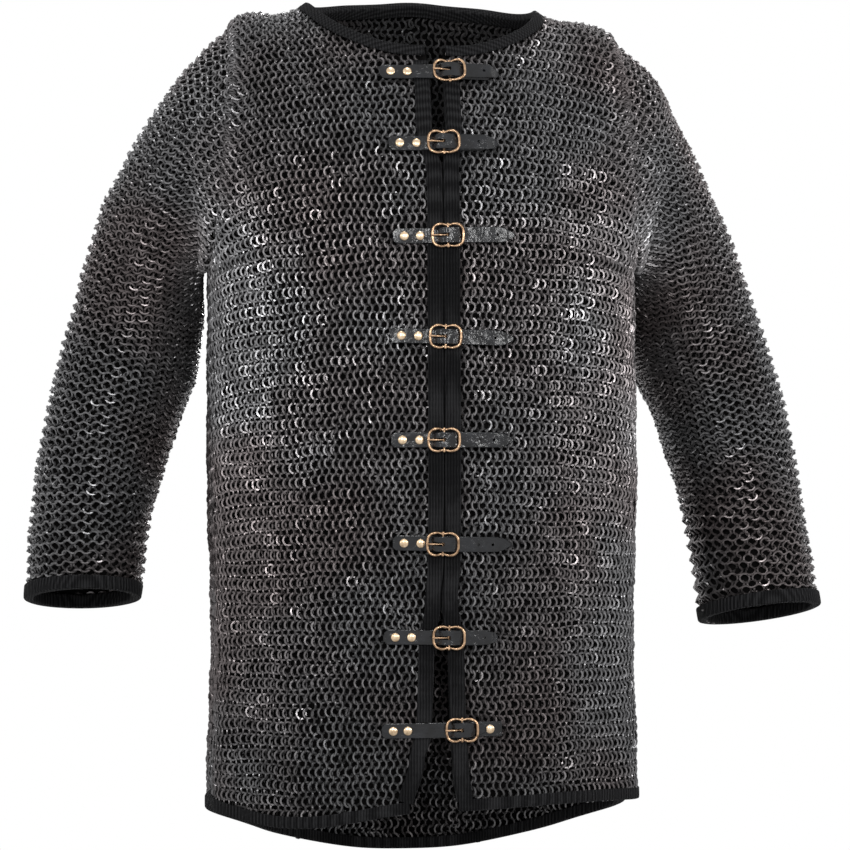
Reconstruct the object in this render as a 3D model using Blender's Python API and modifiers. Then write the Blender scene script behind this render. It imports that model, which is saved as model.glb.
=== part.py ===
"""Chainmail jacket: mail panels, cloth bindings and eight buckled leather closures.

Metres, +Z up, the opening faces -Y. The origin lies between the wearer's shoulders.
Right and left are the wearer's: the right sleeve is on the -X side.
"""
import math

import bmesh
import bpy
import numpy as np
from mathutils import Matrix, Vector

# Mail sheet and the gaps between neighbours
MAIL_THICKNESS = 0.007
GAP = 0.0003
EASE = 0.0005

# Torso: half widths and depths at four levels below the shoulders
ARMPIT_DROP = 0.262
BELLY_DROP = 0.470
WAIST_DROP = 0.650
SIDE_HEM_DROP = 0.817
FRONT_HEM_DIP_RIGHT = 0.018
FRONT_HEM_DIP_LEFT = -0.005
BACK_HEM_DIP = 0.0695
HEM_ROUNDNESS = 1.2
CHEST_HALF_WIDTH = 0.2200
BELLY_HALF_WIDTH = 0.2215
WAIST_HALF_WIDTH = 0.2165
HEM_HALF_WIDTH = 0.2205
CHEST_FRONT_DEPTH = 0.150
BELLY_FRONT_DEPTH = 0.156
WAIST_FRONT_DEPTH = 0.150
HEM_FRONT_DEPTH = 0.148
CHEST_BACK_DEPTH = 0.138
BELLY_BACK_DEPTH = 0.132
WAIST_BACK_DEPTH = 0.134
HEM_BACK_DEPTH = 0.142
FOLD_HEIGHT = 0.005
TORSO_SQUARENESS = 2.4
FOLDS_EACH_SIDE = 5

# Shoulder ridge between the neck and the armholes
NAPE_HEIGHT = 0.056
NAPE_SETBACK = 0.030
NAPE_TURN_SHARE = 0.20
SHOULDER_HALF_WIDTH = 0.200
SHOULDER_DROP_RIGHT = 0.0135
SHOULDER_DROP_LEFT = 0.0215
NECK_SHARE = 0.44
NECK_FRONT_DROP = 0.038
NECK_SQUARENESS = 2.2
ridge_height_shares = (1.0, 0.76, 0.28, 0.19, 0.0)
ridge_setback_shares = (1.0, 0.85, 0.28, 0.03, 0.0)

# Sleeves: reach from the middle to the outer end of the cuff, and its drop. The outer line's
# shares run from the shoulder to the reach, the inner line's from clear of the body.
SLEEVE_HALF_DEPTH = 0.075
SLEEVE_SETBACK = 0.058
UNDERARM_STEP = 0.0085
CUFF_TILT = 0.013
RIGHT_SLEEVE_REACH = 0.4100
RIGHT_SLEEVE_DROP = 0.606
LEFT_SLEEVE_REACH = 0.4225
LEFT_SLEEVE_DROP = 0.632
right_outer_shares = ((0.155, 0.0698), (0.317, 0.1396), (0.595, 0.310), (0.748, 0.485),
                      (0.881, 0.658), (0.967, 0.831), (1.0, 1.0))
right_inner_shares = ((0.011, 0.4406), (0.006, 0.4715), (0.003, 0.5312), (0.034, 0.608),
                      (0.152, 0.7056), (0.288, 0.832), (0.388, 1.0))
left_outer_shares = ((0.209, 0.0894), (0.344, 0.157), (0.569, 0.313), (0.748, 0.484),
                     (0.874, 0.651), (0.946, 0.825), (1.0, 0.980))
left_inner_shares = ((0.010, 0.4233), (0.006, 0.4532), (0.003, 0.5098), (0.059, 0.583),
                     (0.173, 0.6756), (0.281, 0.800), (0.384, 1.0))
sleeve_depth_shares = (1.0, 1.03, 1.02, 0.99, 0.95, 0.90, 0.86, 0.83)
sleeve_setback_shares = (0.0, 0.40, 0.80, 1.0, 0.88, 0.58, 0.28, 0.0)

# Cloth bindings
BINDING_CLOTH = 0.0012
FRONT_BINDING_WIDTH = 0.0145
NECK_BINDING_WIDTH = 0.0115
HEM_BINDING_WIDTH = 0.0110
CUFF_BINDING_WIDTH = 0.0125
NECK_EASE = 0.0012
NECK_SLOPE_LIMIT = 2.2
neck_reach_shares = (0.02, 0.12, 0.50, 0.85)

# The opening: how far each front edge stands from the middle at shares of the front's drop
FRONT_EDGE_STEP = 0.010
opening_drop_shares = (0.0, 0.135, 0.175, 0.689, 0.739, 0.800, 0.900, 0.937, 1.0)
right_edge_shares = (-0.65, -0.65, 0.28, 0.28, 0.02, -0.65, -0.85, -1.60, -2.90)
left_edge_shares = (0.80, 0.80, 0.34, 0.34, 0.10, 0.80, 0.97, 1.22, 1.75)

# Leather and brass of the closures
STRAP_WIDTH = 0.0152
STRAP_THICKNESS = 0.0022
STRAP_START_OVERHANG = 0.0110
STRAP_POINT_LENGTH = 0.0140
STRAP_END_ROUND = 0.0030
CHAPE_WIDTH = 0.0150
CHAPE_THICKNESS = 0.0018
CHAPE_LENGTH = 0.0400
CHAPE_RIVET_REACH = 0.0280
CHAPE_SLOT_WIDTH = 0.0042
BAR_RADIUS = 0.0013
RIM_RADIUS = 0.0014
BUCKLE_HALF_LENGTH = 0.0156
BUCKLE_HALF_HEIGHT = 0.0116
BUCKLE_WAIST_HEIGHT = 0.0098
PRONG_RADIUS = 0.0009
PRONG_OVERHANG = 0.0022
RIVET_HEAD_RADIUS = 0.0046
RIVET_HEAD_HEIGHT = 0.0019
RIVET_SHANK_RADIUS = 0.0014
RIVET_BURR_RADIUS = 0.0038
RIVET_BURR_HEIGHT = 0.0009
RIVET_BURR_CLEARANCE = 0.0016
HOLE_RADIUS = 0.0018
PRONG_HOLE_RADIUS = 0.0015
CUT_OVERRUN = 0.004
BINDING_RISE_LENGTH = 0.0016
LEATHER_CLEARANCE = 0.0008
RIM_LIFT = 0.0008
closure_names = ("1", "2", "3", "4", "5", "6", "7", "8")
closure_drop_shares = (0.0839, 0.1730, 0.2869, 0.4120, 0.5394, 0.6670, 0.7833, 0.8973)
buckle_offset_shares = (1.28, 0.40, 0.67, 0.40, 0.20, 0.10, 0.77, 2.10)
closure_tilts_deg = (-1.0, 0.0, 1.0, -1.5, 0.0, -1.0, -0.5, 1.0)
OUTER_RIVET_REACH = 0.0450
RIVET_SPACING = 0.0170
STRAP_REACH = 0.0680
outer_rivet_shares = (1.30, 0.97, 0.97, 0.98, 0.92, 0.86, 1.19, 1.53)
strap_reach_shares = (0.76, 0.82, 1.0, 1.02, 1.03, 1.02, 0.73, 0.33)
HOLE_PITCH = 0.0150
HOLE_START = 0.0350

# Facets
FACETS_ROUND_BAR = 8
FACETS_HOLE = 8
FACETS_RIVET = 8
PROBE = 0.001
WIDE_PROBE = 0.005
WELD_DISTANCE = 0.000001
POLE_WELD_DISTANCE = 0.00001
SHARP_ANGLE_DEG = 35.0
YOKE_ROUNDNESS = 1.7
split_rank_weights = (0.37, 0.11, 1.0)
ARMHOLE_BLEND = 0.35
RIM_RISE_SHARE = 0.72
RIM_POINTS = 20
RIM_END_SQUARENESS = 0.58
RIM_SIDE_SQUARENESS = 0.62
RIM_WAIST_SHARE = 0.28
PRONG_REST_SHARE = 0.6
DOME_SHOULDER_SHARE = 0.65
DOME_SHOULDER_HEIGHT_SHARE = 0.72
STRAP_POINT_SHARE = 0.25
LAST_HOLE_SHARE = 0.7
SLOT_LENGTH_SHARE = 0.72
SLOT_MIDDLE_SHARE = 0.31
EDGE_GUESS_SHARE = 0.8
CUFF_PROBE_SHARE = 0.03
prong_eye_degrees = (215, 250, 285, 320, 355, 390, 420)
prong_eye_end_shares = (0.35, 1.02)
chape_fold_shares = (1.0, 0.8, 0.6, 0.4, 0.2)
chape_loop_degrees = (270, 235, 200, 165, 130, 95)
chape_return_shares = ((0.12, 0.45), (0.20, 0.0), (0.4, 0.0), (0.6, 0.0), (0.8, 0.0), (1.0, 0.0))
strap_climb_shares = ((-0.72, 0.06), (-0.56, 0.32), (-0.34, 0.80), (-0.12, 1.0))
strap_descent_shares = ((0.12, 1.0), (0.40, 0.62), (0.68, 0.14), (0.90, 0.0))
strap_settle_shares = (0.25, 0.5, 0.75, 1.0)
STRAP_SETTLE_SPEED = 1.2
STRAP_FLAT_START_SHARE = 1.25
LIP_SEARCH_SHARE = 0.65
column_shares = (0.16, 0.26, 0.34, 0.38, 0.415, 0.435, 0.44, 0.52, 0.61, 0.70, 0.79, 0.88, 0.95, 1.0)
back_column_shares = (0.0, 0.14, 0.26, 0.36, 0.415, 0.44, 0.52, 0.61, 0.70, 0.79, 0.88, 0.95, 1.0)
lower_row_shares = (0.08, 0.17, 0.26, 0.35, 0.44, 0.53, 0.62, 0.71, 0.80, 0.89)
upper_row_shares = (0.0, 0.11, 0.23, 0.36, 0.49, 0.60, 0.70, 0.80)
sleeve_station_shares = (0.0, 0.08, 0.18, 0.30, 0.43, 0.57, 0.71, 0.85)

MESH_SAMPLES = 400
SPREAD_SAMPLES = 60
RIGHT = -1
LEFT = 1
side_names = {RIGHT: "right", LEFT: "left"}


def clear_scene():
    for item in list(bpy.data.objects):
        bpy.data.objects.remove(item, do_unlink=True)


def make_collection(name):
    collection = bpy.data.collections.new(name)
    bpy.context.scene.collection.children.link(collection)
    return collection


def make_material(name, colour, roughness, metallic):
    material = bpy.data.materials.new(name)
    material.use_nodes = True
    shader = material.node_tree.nodes["Principled BSDF"]
    shader.inputs["Base Color"].default_value = (*colour, 1.0)
    shader.inputs["Roughness"].default_value = roughness
    shader.inputs["Metallic"].default_value = metallic
    return material


def smoothstep(value):
    value = min(max(value, 0.0), 1.0)
    return value * value * (3.0 - 2.0 * value)


def ease_between(stations, values, place):
    """Values joined by smooth steps between rising stations."""
    for index in range(len(stations) - 1):
        if place <= stations[index + 1]:
            share = (place - stations[index]) / (stations[index + 1] - stations[index])
            return values[index] + (values[index + 1] - values[index]) * smoothstep(share)
    return values[-1]


def spline(values, share):
    """Catmull-Rom curve through evenly spaced values, share from 0 to 1."""
    last = len(values) - 1
    place = min(max(share, 0.0), 1.0) * last
    index = min(int(place), last - 1)
    t = place - index
    p1 = values[index]
    p2 = values[index + 1]
    p0 = values[index - 1] if index > 0 else 2.0 * p1 - p2
    p3 = values[index + 2] if index + 2 <= last else 2.0 * p2 - p1
    linear = (p2 - p0) * t
    square = (2.0 * p0 - 5.0 * p1 + 4.0 * p2 - p3) * t * t
    cube = (3.0 * p1 - p0 - 3.0 * p2 + p3) * t * t * t
    return p1 + 0.5 * (linear + square + cube)


def quarter_tables():
    """Arc length against angle along a quarter of the torso's oval."""
    power = 2.0 / TORSO_SQUARENESS
    angles = np.linspace(0.0, math.pi / 2.0, MESH_SAMPLES)
    across = CHEST_HALF_WIDTH * np.sin(angles) ** power
    deep = CHEST_FRONT_DEPTH * np.abs(np.cos(angles)) ** power
    steps = np.hypot(np.diff(across), np.diff(deep))
    lengths = np.concatenate(([0.0], np.cumsum(steps)))
    return angles, lengths / lengths[-1]


ANGLES, ARC_SHARES = quarter_tables()


def torso_sizes(z):
    """Half width, front depth and back depth of the torso at a height."""
    drops = (ARMPIT_DROP, BELLY_DROP, WAIST_DROP, SIDE_HEM_DROP)
    widths = (CHEST_HALF_WIDTH, BELLY_HALF_WIDTH, WAIST_HALF_WIDTH, HEM_HALF_WIDTH)
    fronts = (CHEST_FRONT_DEPTH, BELLY_FRONT_DEPTH, WAIST_FRONT_DEPTH, HEM_FRONT_DEPTH)
    backs = (CHEST_BACK_DEPTH, BELLY_BACK_DEPTH, WAIST_BACK_DEPTH, HEM_BACK_DEPTH)
    drop = max(-z, ARMPIT_DROP)
    return tuple(ease_between(drops, sizes, drop) for sizes in (widths, fronts, backs))


def fold_offset(around, z):
    """Soft upright folds that grow towards the hem and leave the closures flat."""
    growth = smoothstep((-z - ARMPIT_DROP) / (SIDE_HEM_DROP - ARMPIT_DROP))
    clear_of_front = smoothstep((around - NECK_SHARE) / NECK_SHARE)
    return FOLD_HEIGHT * growth * clear_of_front * math.cos(math.pi * FOLDS_EACH_SIDE * around)


def torso_point(side, around, z):
    """Middle of the mail below the armpits; around is 0 in front, 1 at the side, 2 behind."""
    if around < 0.0:
        side = -side
        around = -around
    if around > 2.0:
        side = -side
        around = 4.0 - around
    share = around if around <= 1.0 else 2.0 - around
    angle = float(np.interp(share, ARC_SHARES, ANGLES))
    half_width, front_depth, back_depth = torso_sizes(z)
    depth = front_depth if around <= 1.0 else back_depth
    facing = -1.0 if around <= 1.0 else 1.0
    power = 2.0 / TORSO_SQUARENESS
    fold = fold_offset(around, z)
    x = half_width * math.sin(angle) ** power + fold * math.sin(angle)
    y = depth * abs(math.cos(angle)) ** power + fold * math.cos(angle)
    return Vector((side * x, facing * y, z))


def shoulder_drop(side):
    return SHOULDER_DROP_RIGHT if side == RIGHT else SHOULDER_DROP_LEFT


def ridge_point(side, out):
    """Top of the shoulder from the nape, out = 0, to the armhole, out = 1."""
    base = torso_point(side, out, -ARMPIT_DROP)
    low = -shoulder_drop(side)
    height = low + (NAPE_HEIGHT - low) * spline(ridge_height_shares, out)
    setback = NAPE_SETBACK * spline(ridge_setback_shares, out)
    return Vector((base.x * SHOULDER_HALF_WIDTH / CHEST_HALF_WIDTH, setback, height))


def yoke_point(side, out, over):
    """Middle of the mail above the armpits; over is 0 in front, 1 on the ridge, 2 behind."""
    if out < 0.0:
        side = -side
        out = -out
    angle = over * math.pi / 2.0
    around = out if over <= 1.0 else 2.0 - out
    base = torso_point(side, around, -ARMPIT_DROP)
    ridge = ridge_point(side, out)
    rise = math.sin(angle) ** 2
    hold = abs(math.cos(angle)) * math.sqrt(1.0 + rise)
    full_depth = CHEST_FRONT_DEPTH if over <= 1.0 else CHEST_BACK_DEPTH
    flatness = min(abs(base.y) / full_depth, 1.0)
    bulge = SLEEVE_HALF_DEPTH * (1.0 - flatness) ** YOKE_ROUNDNESS * math.sin(2.0 * angle)
    x = base.x + (ridge.x - base.x) * rise
    y = ridge.y + (base.y - ridge.y) * hold - bulge
    z = base.z + (ridge.z - base.z) * rise
    return Vector((x, y, z))


def sleeve_lines(side, along):
    """Outer and inner point of the sleeve's section, its setback and its half depth."""
    right = side == RIGHT
    reach = RIGHT_SLEEVE_REACH if right else LEFT_SLEEVE_REACH
    drop = RIGHT_SLEEVE_DROP if right else LEFT_SLEEVE_DROP
    outer_shares = right_outer_shares if right else left_outer_shares
    inner_shares = right_inner_shares if right else left_inner_shares
    clear = CHEST_HALF_WIDTH + UNDERARM_STEP
    outer_x = [SHOULDER_HALF_WIDTH]
    outer_x += [SHOULDER_HALF_WIDTH + (reach - SHOULDER_HALF_WIDTH) * pair[0] for pair in outer_shares]
    outer_z = [-shoulder_drop(side)] + [-drop * pair[1] for pair in outer_shares]
    inner_x = [CHEST_HALF_WIDTH] + [clear + (reach - clear) * pair[0] for pair in inner_shares]
    inner_z = [-ARMPIT_DROP] + [-drop * pair[1] for pair in inner_shares]
    setback = SLEEVE_SETBACK * spline(sleeve_setback_shares, along)
    half_depth = SLEEVE_HALF_DEPTH * spline(sleeve_depth_shares, along)
    outer = Vector((side * spline(outer_x, along), setback, spline(outer_z, along)))
    inner = Vector((side * spline(inner_x, along), setback, spline(inner_z, along)))
    return outer, inner, half_depth


def sleeve_point(side, along, over):
    """Middle of the sleeve's mail; along runs from the armhole, 0, to the cuff, 1."""
    over = over % 2.0
    angle = over * math.pi / 2.0
    outer, inner, half_depth = sleeve_lines(side, along)
    rise = math.sin(angle) ** 2
    place = inner + (outer - inner) * rise
    place.y -= half_depth * math.sin(2.0 * angle)
    place.z += CUFF_TILT * math.sin(2.0 * angle) * along ** 3
    place.x += side * UNDERARM_STEP * (1.0 - rise) ** 4 * smoothstep(1.0 - along * 5.0)
    return place


def garment_point(side, out, height):
    """The front and back sheets as one: height is -1 at the hem, 0 at the armpit,
    1 on the ridge and back down to 3 at the rear hem; out runs on into the sleeve past 1."""
    if 0.0 <= height <= 2.0:
        if out > 1.0:
            return sleeve_point(side, (out - 1.0), height)
        return yoke_point(side, out, height)
    if out > 1.0:
        out = 2.0 - out
        height = 2.0 - height
    around = out if height < 0.0 else 2.0 - out
    down = -height if height < 0.0 else height - 2.0
    return torso_point(side, around, hem_level(side, around, down))


def hem_drop(side, around):
    """Drop of the hem around the body."""
    if around <= 1.0:
        dip = FRONT_HEM_DIP_RIGHT if side == RIGHT else FRONT_HEM_DIP_LEFT
        return SIDE_HEM_DROP + dip * math.sin(math.pi * abs(around)) ** 2
    return SIDE_HEM_DROP + BACK_HEM_DIP * math.sin(math.pi / 2.0 * (around - 1.0)) ** HEM_ROUNDNESS


def hem_level(side, around, down):
    """Height at a share of the way from the armpit to the hem."""
    return -ARMPIT_DROP - (hem_drop(side, around) - ARMPIT_DROP) * down


def surface_normal(point_at, u, v, turn):
    """Outward unit normal of a surface by central differences."""
    step = PROBE
    along_u = point_at(u + step, v) - point_at(u - step, v)
    along_v = point_at(u, v + step) - point_at(u, v - step)
    return (along_u.cross(along_v) * turn).normalized()


def edge_share(side, z):
    """Share of the quarter at which a front sheet's bound edge stands."""
    edge_shares = right_edge_shares if side == RIGHT else left_edge_shares
    stand = FRONT_EDGE_STEP * side * ease_between(opening_drop_shares, edge_shares, -z / SIDE_HEM_DROP)
    inset = BINDING_CLOTH + EASE
    return share_at(stand + inset)


def share_at(distance):
    """Share of the torso's quarter at a distance across from the middle."""
    sign = -1.0 if distance < 0.0 else 1.0
    power = 2.0 / TORSO_SQUARENESS
    angle = math.asin(min(abs(distance) / CHEST_HALF_WIDTH, 1.0) ** (1.0 / power))
    return sign * float(np.interp(angle, ANGLES, ARC_SHARES))


def neckline_height(out):
    """Height share of the front neckline above the armpit."""
    low = (ARMPIT_DROP - NECK_FRONT_DROP) / (ARMPIT_DROP + NAPE_HEIGHT)
    middle = math.asin(math.sqrt(low)) / (math.pi / 2.0)
    across = min(abs(out) / NECK_SHARE, 1.0)
    fall = (1.0 - across ** NECK_SQUARENESS) ** (1.0 / NECK_SQUARENESS)
    return 1.0 - (1.0 - middle) * fall


def nape_height(out):
    """Height share of the rear neckline, past the ridge."""
    across = min(abs(out) / NECK_SHARE, 1.0)
    fall = (1.0 - across ** NECK_SQUARENESS) ** (1.0 / NECK_SQUARENESS)
    return 1.0 + NAPE_TURN_SHARE * fall


def grid_cell(point_at, u, v, turn):
    """A point of the mail's middle sheet and its normal."""
    return point_at(u, v), surface_normal(point_at, u, v, turn)


def seam_shift(grid, columns, rows):
    """Draw the seams of a sheet back by half a gap."""
    half_gap = GAP / 2.0
    moved = [[cell[0].copy() for cell in row] for row in grid]
    for r, row in enumerate(grid):
        for side_index, inner_index in columns:
            inward = (row[inner_index][0] - row[side_index][0]).normalized()
            moved[r][side_index] += inward * half_gap
    for edge_index, inner_index, first, last in rows:
        for c in range(first, last):
            inward = (grid[inner_index][c][0] - grid[edge_index][c][0]).normalized()
            moved[edge_index][c] += inward * half_gap
    for r, row in enumerate(grid):
        for c, cell in enumerate(row):
            row[c] = (moved[r][c], cell[1])
    return grid


def thicken(grid, closed=False):
    """Vertices and faces of a sheet of mail, half its thickness to each side."""
    half = MAIL_THICKNESS / 2.0
    rows = len(grid)
    columns = len(grid[0])
    vertices = []
    for sign in (1.0, -1.0):
        for row in grid:
            vertices += [point + normal * half * sign for point, normal in row]
    layer = rows * columns
    wrap = columns if closed else columns - 1
    faces = []
    for r in range(rows - 1):
        for c in range(wrap):
            n = (c + 1) % columns
            a, b = r * columns + c, r * columns + n
            d, e = a + columns, b + columns
            if r < rows - 2 or closed:
                faces.append((a, b, e, d))
                faces.append((layer + a, layer + d, layer + e, layer + b))
            elif abs(vertices[d].x) < abs(vertices[e].x):
                faces += [(a, b, e), (a, e, d), (layer + a, layer + e, layer + b)]
                faces += [(layer + a, layer + d, layer + e)]
            else:
                faces += [(a, b, d), (b, e, d), (layer + a, layer + d, layer + b)]
                faces += [(layer + b, layer + d, layer + e)]
    rims = []
    for c in range(wrap):
        n = (c + 1) % columns
        top = (rows - 1) * columns
        rims += [(c, n), (top + n, top + c)]
    if not closed:
        for r in range(rows - 1):
            a, d = r * columns, (r + 1) * columns
            rims += [(d, a), (a + columns - 1, d + columns - 1)]
    for first, second in rims:
        faces += wall_faces(vertices, layer, first, second)
    return vertices, faces


def wall_faces(vertices, layer, first, second):
    """Two triangles of an edge wall; neighbouring sheets split their walls alike."""
    def rank(index):
        place = (vertices[index] + vertices[layer + index]) / 2.0
        return Vector((abs(place.x), place.y, place.z)).dot(Vector(split_rank_weights))
    if rank(first) < rank(second):
        return [(first, layer + first, layer + second), (first, layer + second, second)]
    return [(first, layer + first, second), (layer + first, layer + second, second)]


def add_object(name, vertices, faces, collection, material, smooth=True):
    mesh = bpy.data.meshes.new(name)
    mesh.from_pydata([tuple(vertex) for vertex in vertices], [], faces)
    return finish_mesh(name, mesh, collection, material, smooth)


def finish_mesh(name, mesh, collection, material, smooth=True):
    """Face a mesh outwards and place it as a named object."""
    shape = bmesh.new()
    shape.from_mesh(mesh)
    bmesh.ops.recalc_face_normals(shape, faces=shape.faces)
    if shape.calc_volume(signed=True) < 0.0:
        bmesh.ops.reverse_faces(shape, faces=shape.faces)
    shape.to_mesh(mesh)
    shape.free()
    if material is not None:
        mesh.materials.append(material)
    if smooth:
        mesh.shade_smooth()
        mesh.set_sharp_from_angle(angle=math.radians(SHARP_ANGLE_DEG))
    item = bpy.data.objects.new(name, mesh)
    collection.objects.link(item)
    return item


def front_grid(side):
    """Front sheet from the hem up to the neckline and the ridge."""
    binding_share = share_at(FRONT_BINDING_WIDTH)

    def column(index, z):
        edge = edge_share(side, z)
        if index == 0:
            return edge
        if index == 1:
            return edge + binding_share
        start = edge + binding_share
        fixed = column_shares[index - 2]
        return max(fixed, start + (fixed - start) * 0.5) if fixed < start else fixed

    count = len(column_shares) + 2
    lip = HEM_BINDING_WIDTH / (SIDE_HEM_DROP - ARMPIT_DROP)
    hem_inset = (BINDING_CLOTH + EASE) / (SIDE_HEM_DROP - ARMPIT_DROP)
    downs = [1.0 - hem_inset, 1.0 - hem_inset - lip]
    downs += [1.0 - share for share in lower_row_shares]
    grid = []
    for down in downs:
        row = []
        for index in range(count):
            out = column(index, hem_level(side, 0.0, down))
            row.append(sheet_cell(side, out, -down))
        grid.append(row)
    for share in upper_row_shares + (None, 1.0):
        row = []
        for index in range(count):
            rise = EDGE_GUESS_SHARE * (share if share is not None else 1.0)
            guess = column(index, -ARMPIT_DROP * (1.0 - rise))
            top = neckline_height(guess) - neck_inset(side, guess)
            if share is None:
                height = top - neck_strip(side, guess)
            else:
                height = share * top
            row.append(sheet_cell(side, spread(side, height, guess), height))
        grid.append(row)
    return grid


def sheet_cell(side, out, height):
    def point_at(u, v):
        return garment_point(side, u, v)
    if out == 1.0 and 0.0 <= height <= 2.0:
        body, sleeve, share = armhole_normals(side, height)
        return point_at(out, height), (body + sleeve * share).normalized()
    return grid_cell(point_at, out, height, side)


def spread(side, over, share):
    """Place across a row above the armpits that keeps its columns evenly apart."""
    if share <= NECK_SHARE or share >= 1.0:
        return share
    places = np.linspace(NECK_SHARE, 1.0, SPREAD_SAMPLES)
    points = np.array([tuple(yoke_point(side, place, over)) for place in places])
    lengths = np.concatenate(([0.0], np.cumsum(np.linalg.norm(np.diff(points, axis=0), axis=1))))
    reach = (share - NECK_SHARE) / (1.0 - NECK_SHARE) * lengths[-1]
    return float(np.interp(reach, lengths, places))


def armhole_normals(side, over):
    """Normals of the body and of the sleeve where they meet, and how far they are shared."""
    step = PROBE
    around = yoke_point(side, 1.0, min(over + step, 2.0)) - yoke_point(side, 1.0, max(over - step, 0.0))
    out = yoke_point(side, 1.0, over) - yoke_point(side, spread(side, over, column_shares[-2]), over)
    onward = sleeve_point(side, sleeve_station_shares[1], over) - sleeve_point(side, 0.0, over)
    rim = sleeve_point(side, 0.0, over + step) - sleeve_point(side, 0.0, over - step)
    body = (out.cross(around) * side).normalized()
    sleeve = (onward.cross(rim) * side).normalized()
    if over in (0.0, 2.0):
        body = Vector((side, 0.0, 0.0))
    return body, sleeve, smoothstep(min(over, 2.0 - over) / ARMHOLE_BLEND)


def neck_slope(side, out):
    """How much longer than wide a step across the neckline is, up to a limit."""
    step = WIDE_PROBE
    height = neckline_height(out)
    if out >= NECK_SHARE:
        return NECK_SLOPE_LIMIT
    rise = (neckline_height(out + step) - neckline_height(out - step)) / (2.0 * step)
    up = garment_point(side, out, height - step) - garment_point(side, out, height - 2.0 * step)
    across = garment_point(side, out + step, height - step) - garment_point(side, out, height - step)
    return min(math.hypot(1.0, rise * up.length / across.length), NECK_SLOPE_LIMIT)


def height_per_length(side, out, height):
    """Height share that one metre up the sheet spans."""
    step = WIDE_PROBE
    up = garment_point(side, out, height - step) - garment_point(side, out, height - 2.0 * step)
    return step / up.length


def neck_inset(side, out):
    """Height share that the neck binding's fold takes from the front sheet."""
    if out >= NECK_SHARE:
        return 0.0
    inset = BINDING_CLOTH + EASE
    return inset * height_per_length(side, out, neckline_height(out))


def neck_strip(side, out):
    """Height share of the neck binding's width on the front sheet."""
    height = neckline_height(out)
    return NECK_BINDING_WIDTH * neck_slope(side, out) * height_per_length(side, out, height)


def back_grid():
    """Back sheet between both side seams, from the hem up to the nape and the ridges."""
    outs = [(RIGHT, share) for share in reversed(back_column_shares)]
    outs += [(LEFT, share) for share in back_column_shares[1:]]
    lip = HEM_BINDING_WIDTH / (SIDE_HEM_DROP - ARMPIT_DROP)
    hem_inset = (BINDING_CLOTH + EASE) / (SIDE_HEM_DROP - ARMPIT_DROP)
    downs = [1.0 - hem_inset, 1.0 - hem_inset - lip]
    downs += [1.0 - share for share in lower_row_shares]
    grid = [[sheet_cell(side, out, 2.0 + down) for side, out in outs] for down in downs]
    for share in upper_row_shares + (None, 1.0):
        row = []
        for side, out in outs:
            inset = (BINDING_CLOTH + EASE) * back_height_per_length(side, out)
            top = 2.0 - nape_height(out) - (inset if out < NECK_SHARE else 0.0)
            if share is None:
                height = top - neck_strip_back(side, out)
            else:
                height = share * top
            row.append(sheet_cell(side, spread(side, 2.0 - height, out), 2.0 - height))
        grid.append(row)
    return grid


def back_height_per_length(side, out):
    step = WIDE_PROBE
    height = nape_height(out)
    up = garment_point(side, out, height + step) - garment_point(side, out, height + 2.0 * step)
    return step / up.length


def neck_strip_back(side, out):
    """The row below the nape; at the ridge it meets the front sheet's row."""
    return NECK_BINDING_WIDTH * back_height_per_length(side, out)


def sleeve_grid(side):
    """Sleeve as rings from the armhole to the cuff."""
    front_top = neckline_height(1.0)
    heights = [share * front_top for share in upper_row_shares]
    heights.append(1.0 - neck_strip(side, 1.0))
    heights.append(1.0)
    back_heights = [2.0 - share for share in upper_row_shares[1:]]
    back_heights.append(1.0 + neck_strip_back(side, 1.0))
    heights += list(reversed(back_heights))
    cuff = sleeve_point(side, 1.0, 0.5) - sleeve_point(side, 1.0 - CUFF_PROBE_SHARE, 0.5)
    per_length = CUFF_PROBE_SHARE / cuff.length
    end = 1.0 - (BINDING_CLOTH + EASE) * per_length
    stations = list(sleeve_station_shares) + [end - CUFF_BINDING_WIDTH * per_length, end]

    def point_at(u, v):
        return sleeve_point(side, u, v)

    grid = [[grid_cell(point_at, u, v, side) for v in heights] for u in stations]
    for index, over in enumerate(heights):
        body, sleeve, share = armhole_normals(side, over)
        grid[0][index] = (grid[0][index][0], (sleeve + body * share).normalized())
    return grid


def channel(name, edge, lip_share, ease, collection, material, closed=False):
    """Folded cloth over a bound edge. Each station gives the edge cell, the cell one
    strip further in and, at a corner, a share of the cloth's full reach between them."""
    inside = MAIL_THICKNESS / 2.0 + ease
    outside = inside + BINDING_CLOTH
    vertices = []
    count = len(edge)
    for k, ((edge_point, edge_normal), (in_point, in_normal), *reach) in enumerate(edge):
        before = edge[(k - 1) % count if closed else max(k - 1, 0)][0][0]
        after = edge[(k + 1) % count if closed else min(k + 1, count - 1)][0][0]
        away = (after - before).cross(edge_normal).normalized()
        if away.dot(edge_point - in_point) < 0.0:
            away.negate()
        share = lip_share * (reach[0] if reach else 1.0)
        lip_point = edge_point.lerp(in_point, share)
        lip_normal = edge_normal.lerp(in_normal, share)
        fold_out = edge_point + away * (ease + BINDING_CLOTH)
        fold_in = edge_point + away * ease
        vertices += [lip_point + lip_normal * outside, fold_out + edge_normal * outside,
                     fold_out - edge_normal * outside, lip_point - lip_normal * outside,
                     lip_point - lip_normal * inside, fold_in - edge_normal * inside,
                     fold_in + edge_normal * inside, lip_point + lip_normal * inside]
    faces = []
    for k in range(count if closed else count - 1):
        here = 8 * k
        there = 8 * ((k + 1) % count)
        for corner in range(8):
            following = (corner + 1) % 8
            faces.append((here + corner, here + following, there + following, there + corner))
    if not closed:
        for start, flip in ((0, 1), (8 * (count - 1), -1)):
            for quad in ((0, 1, 6, 7), (1, 2, 5, 6), (2, 3, 4, 5)):
                faces.append(tuple(start + corner for corner in quad[::flip]))
    return add_object(name, vertices, faces, collection, material, smooth=False)


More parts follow.
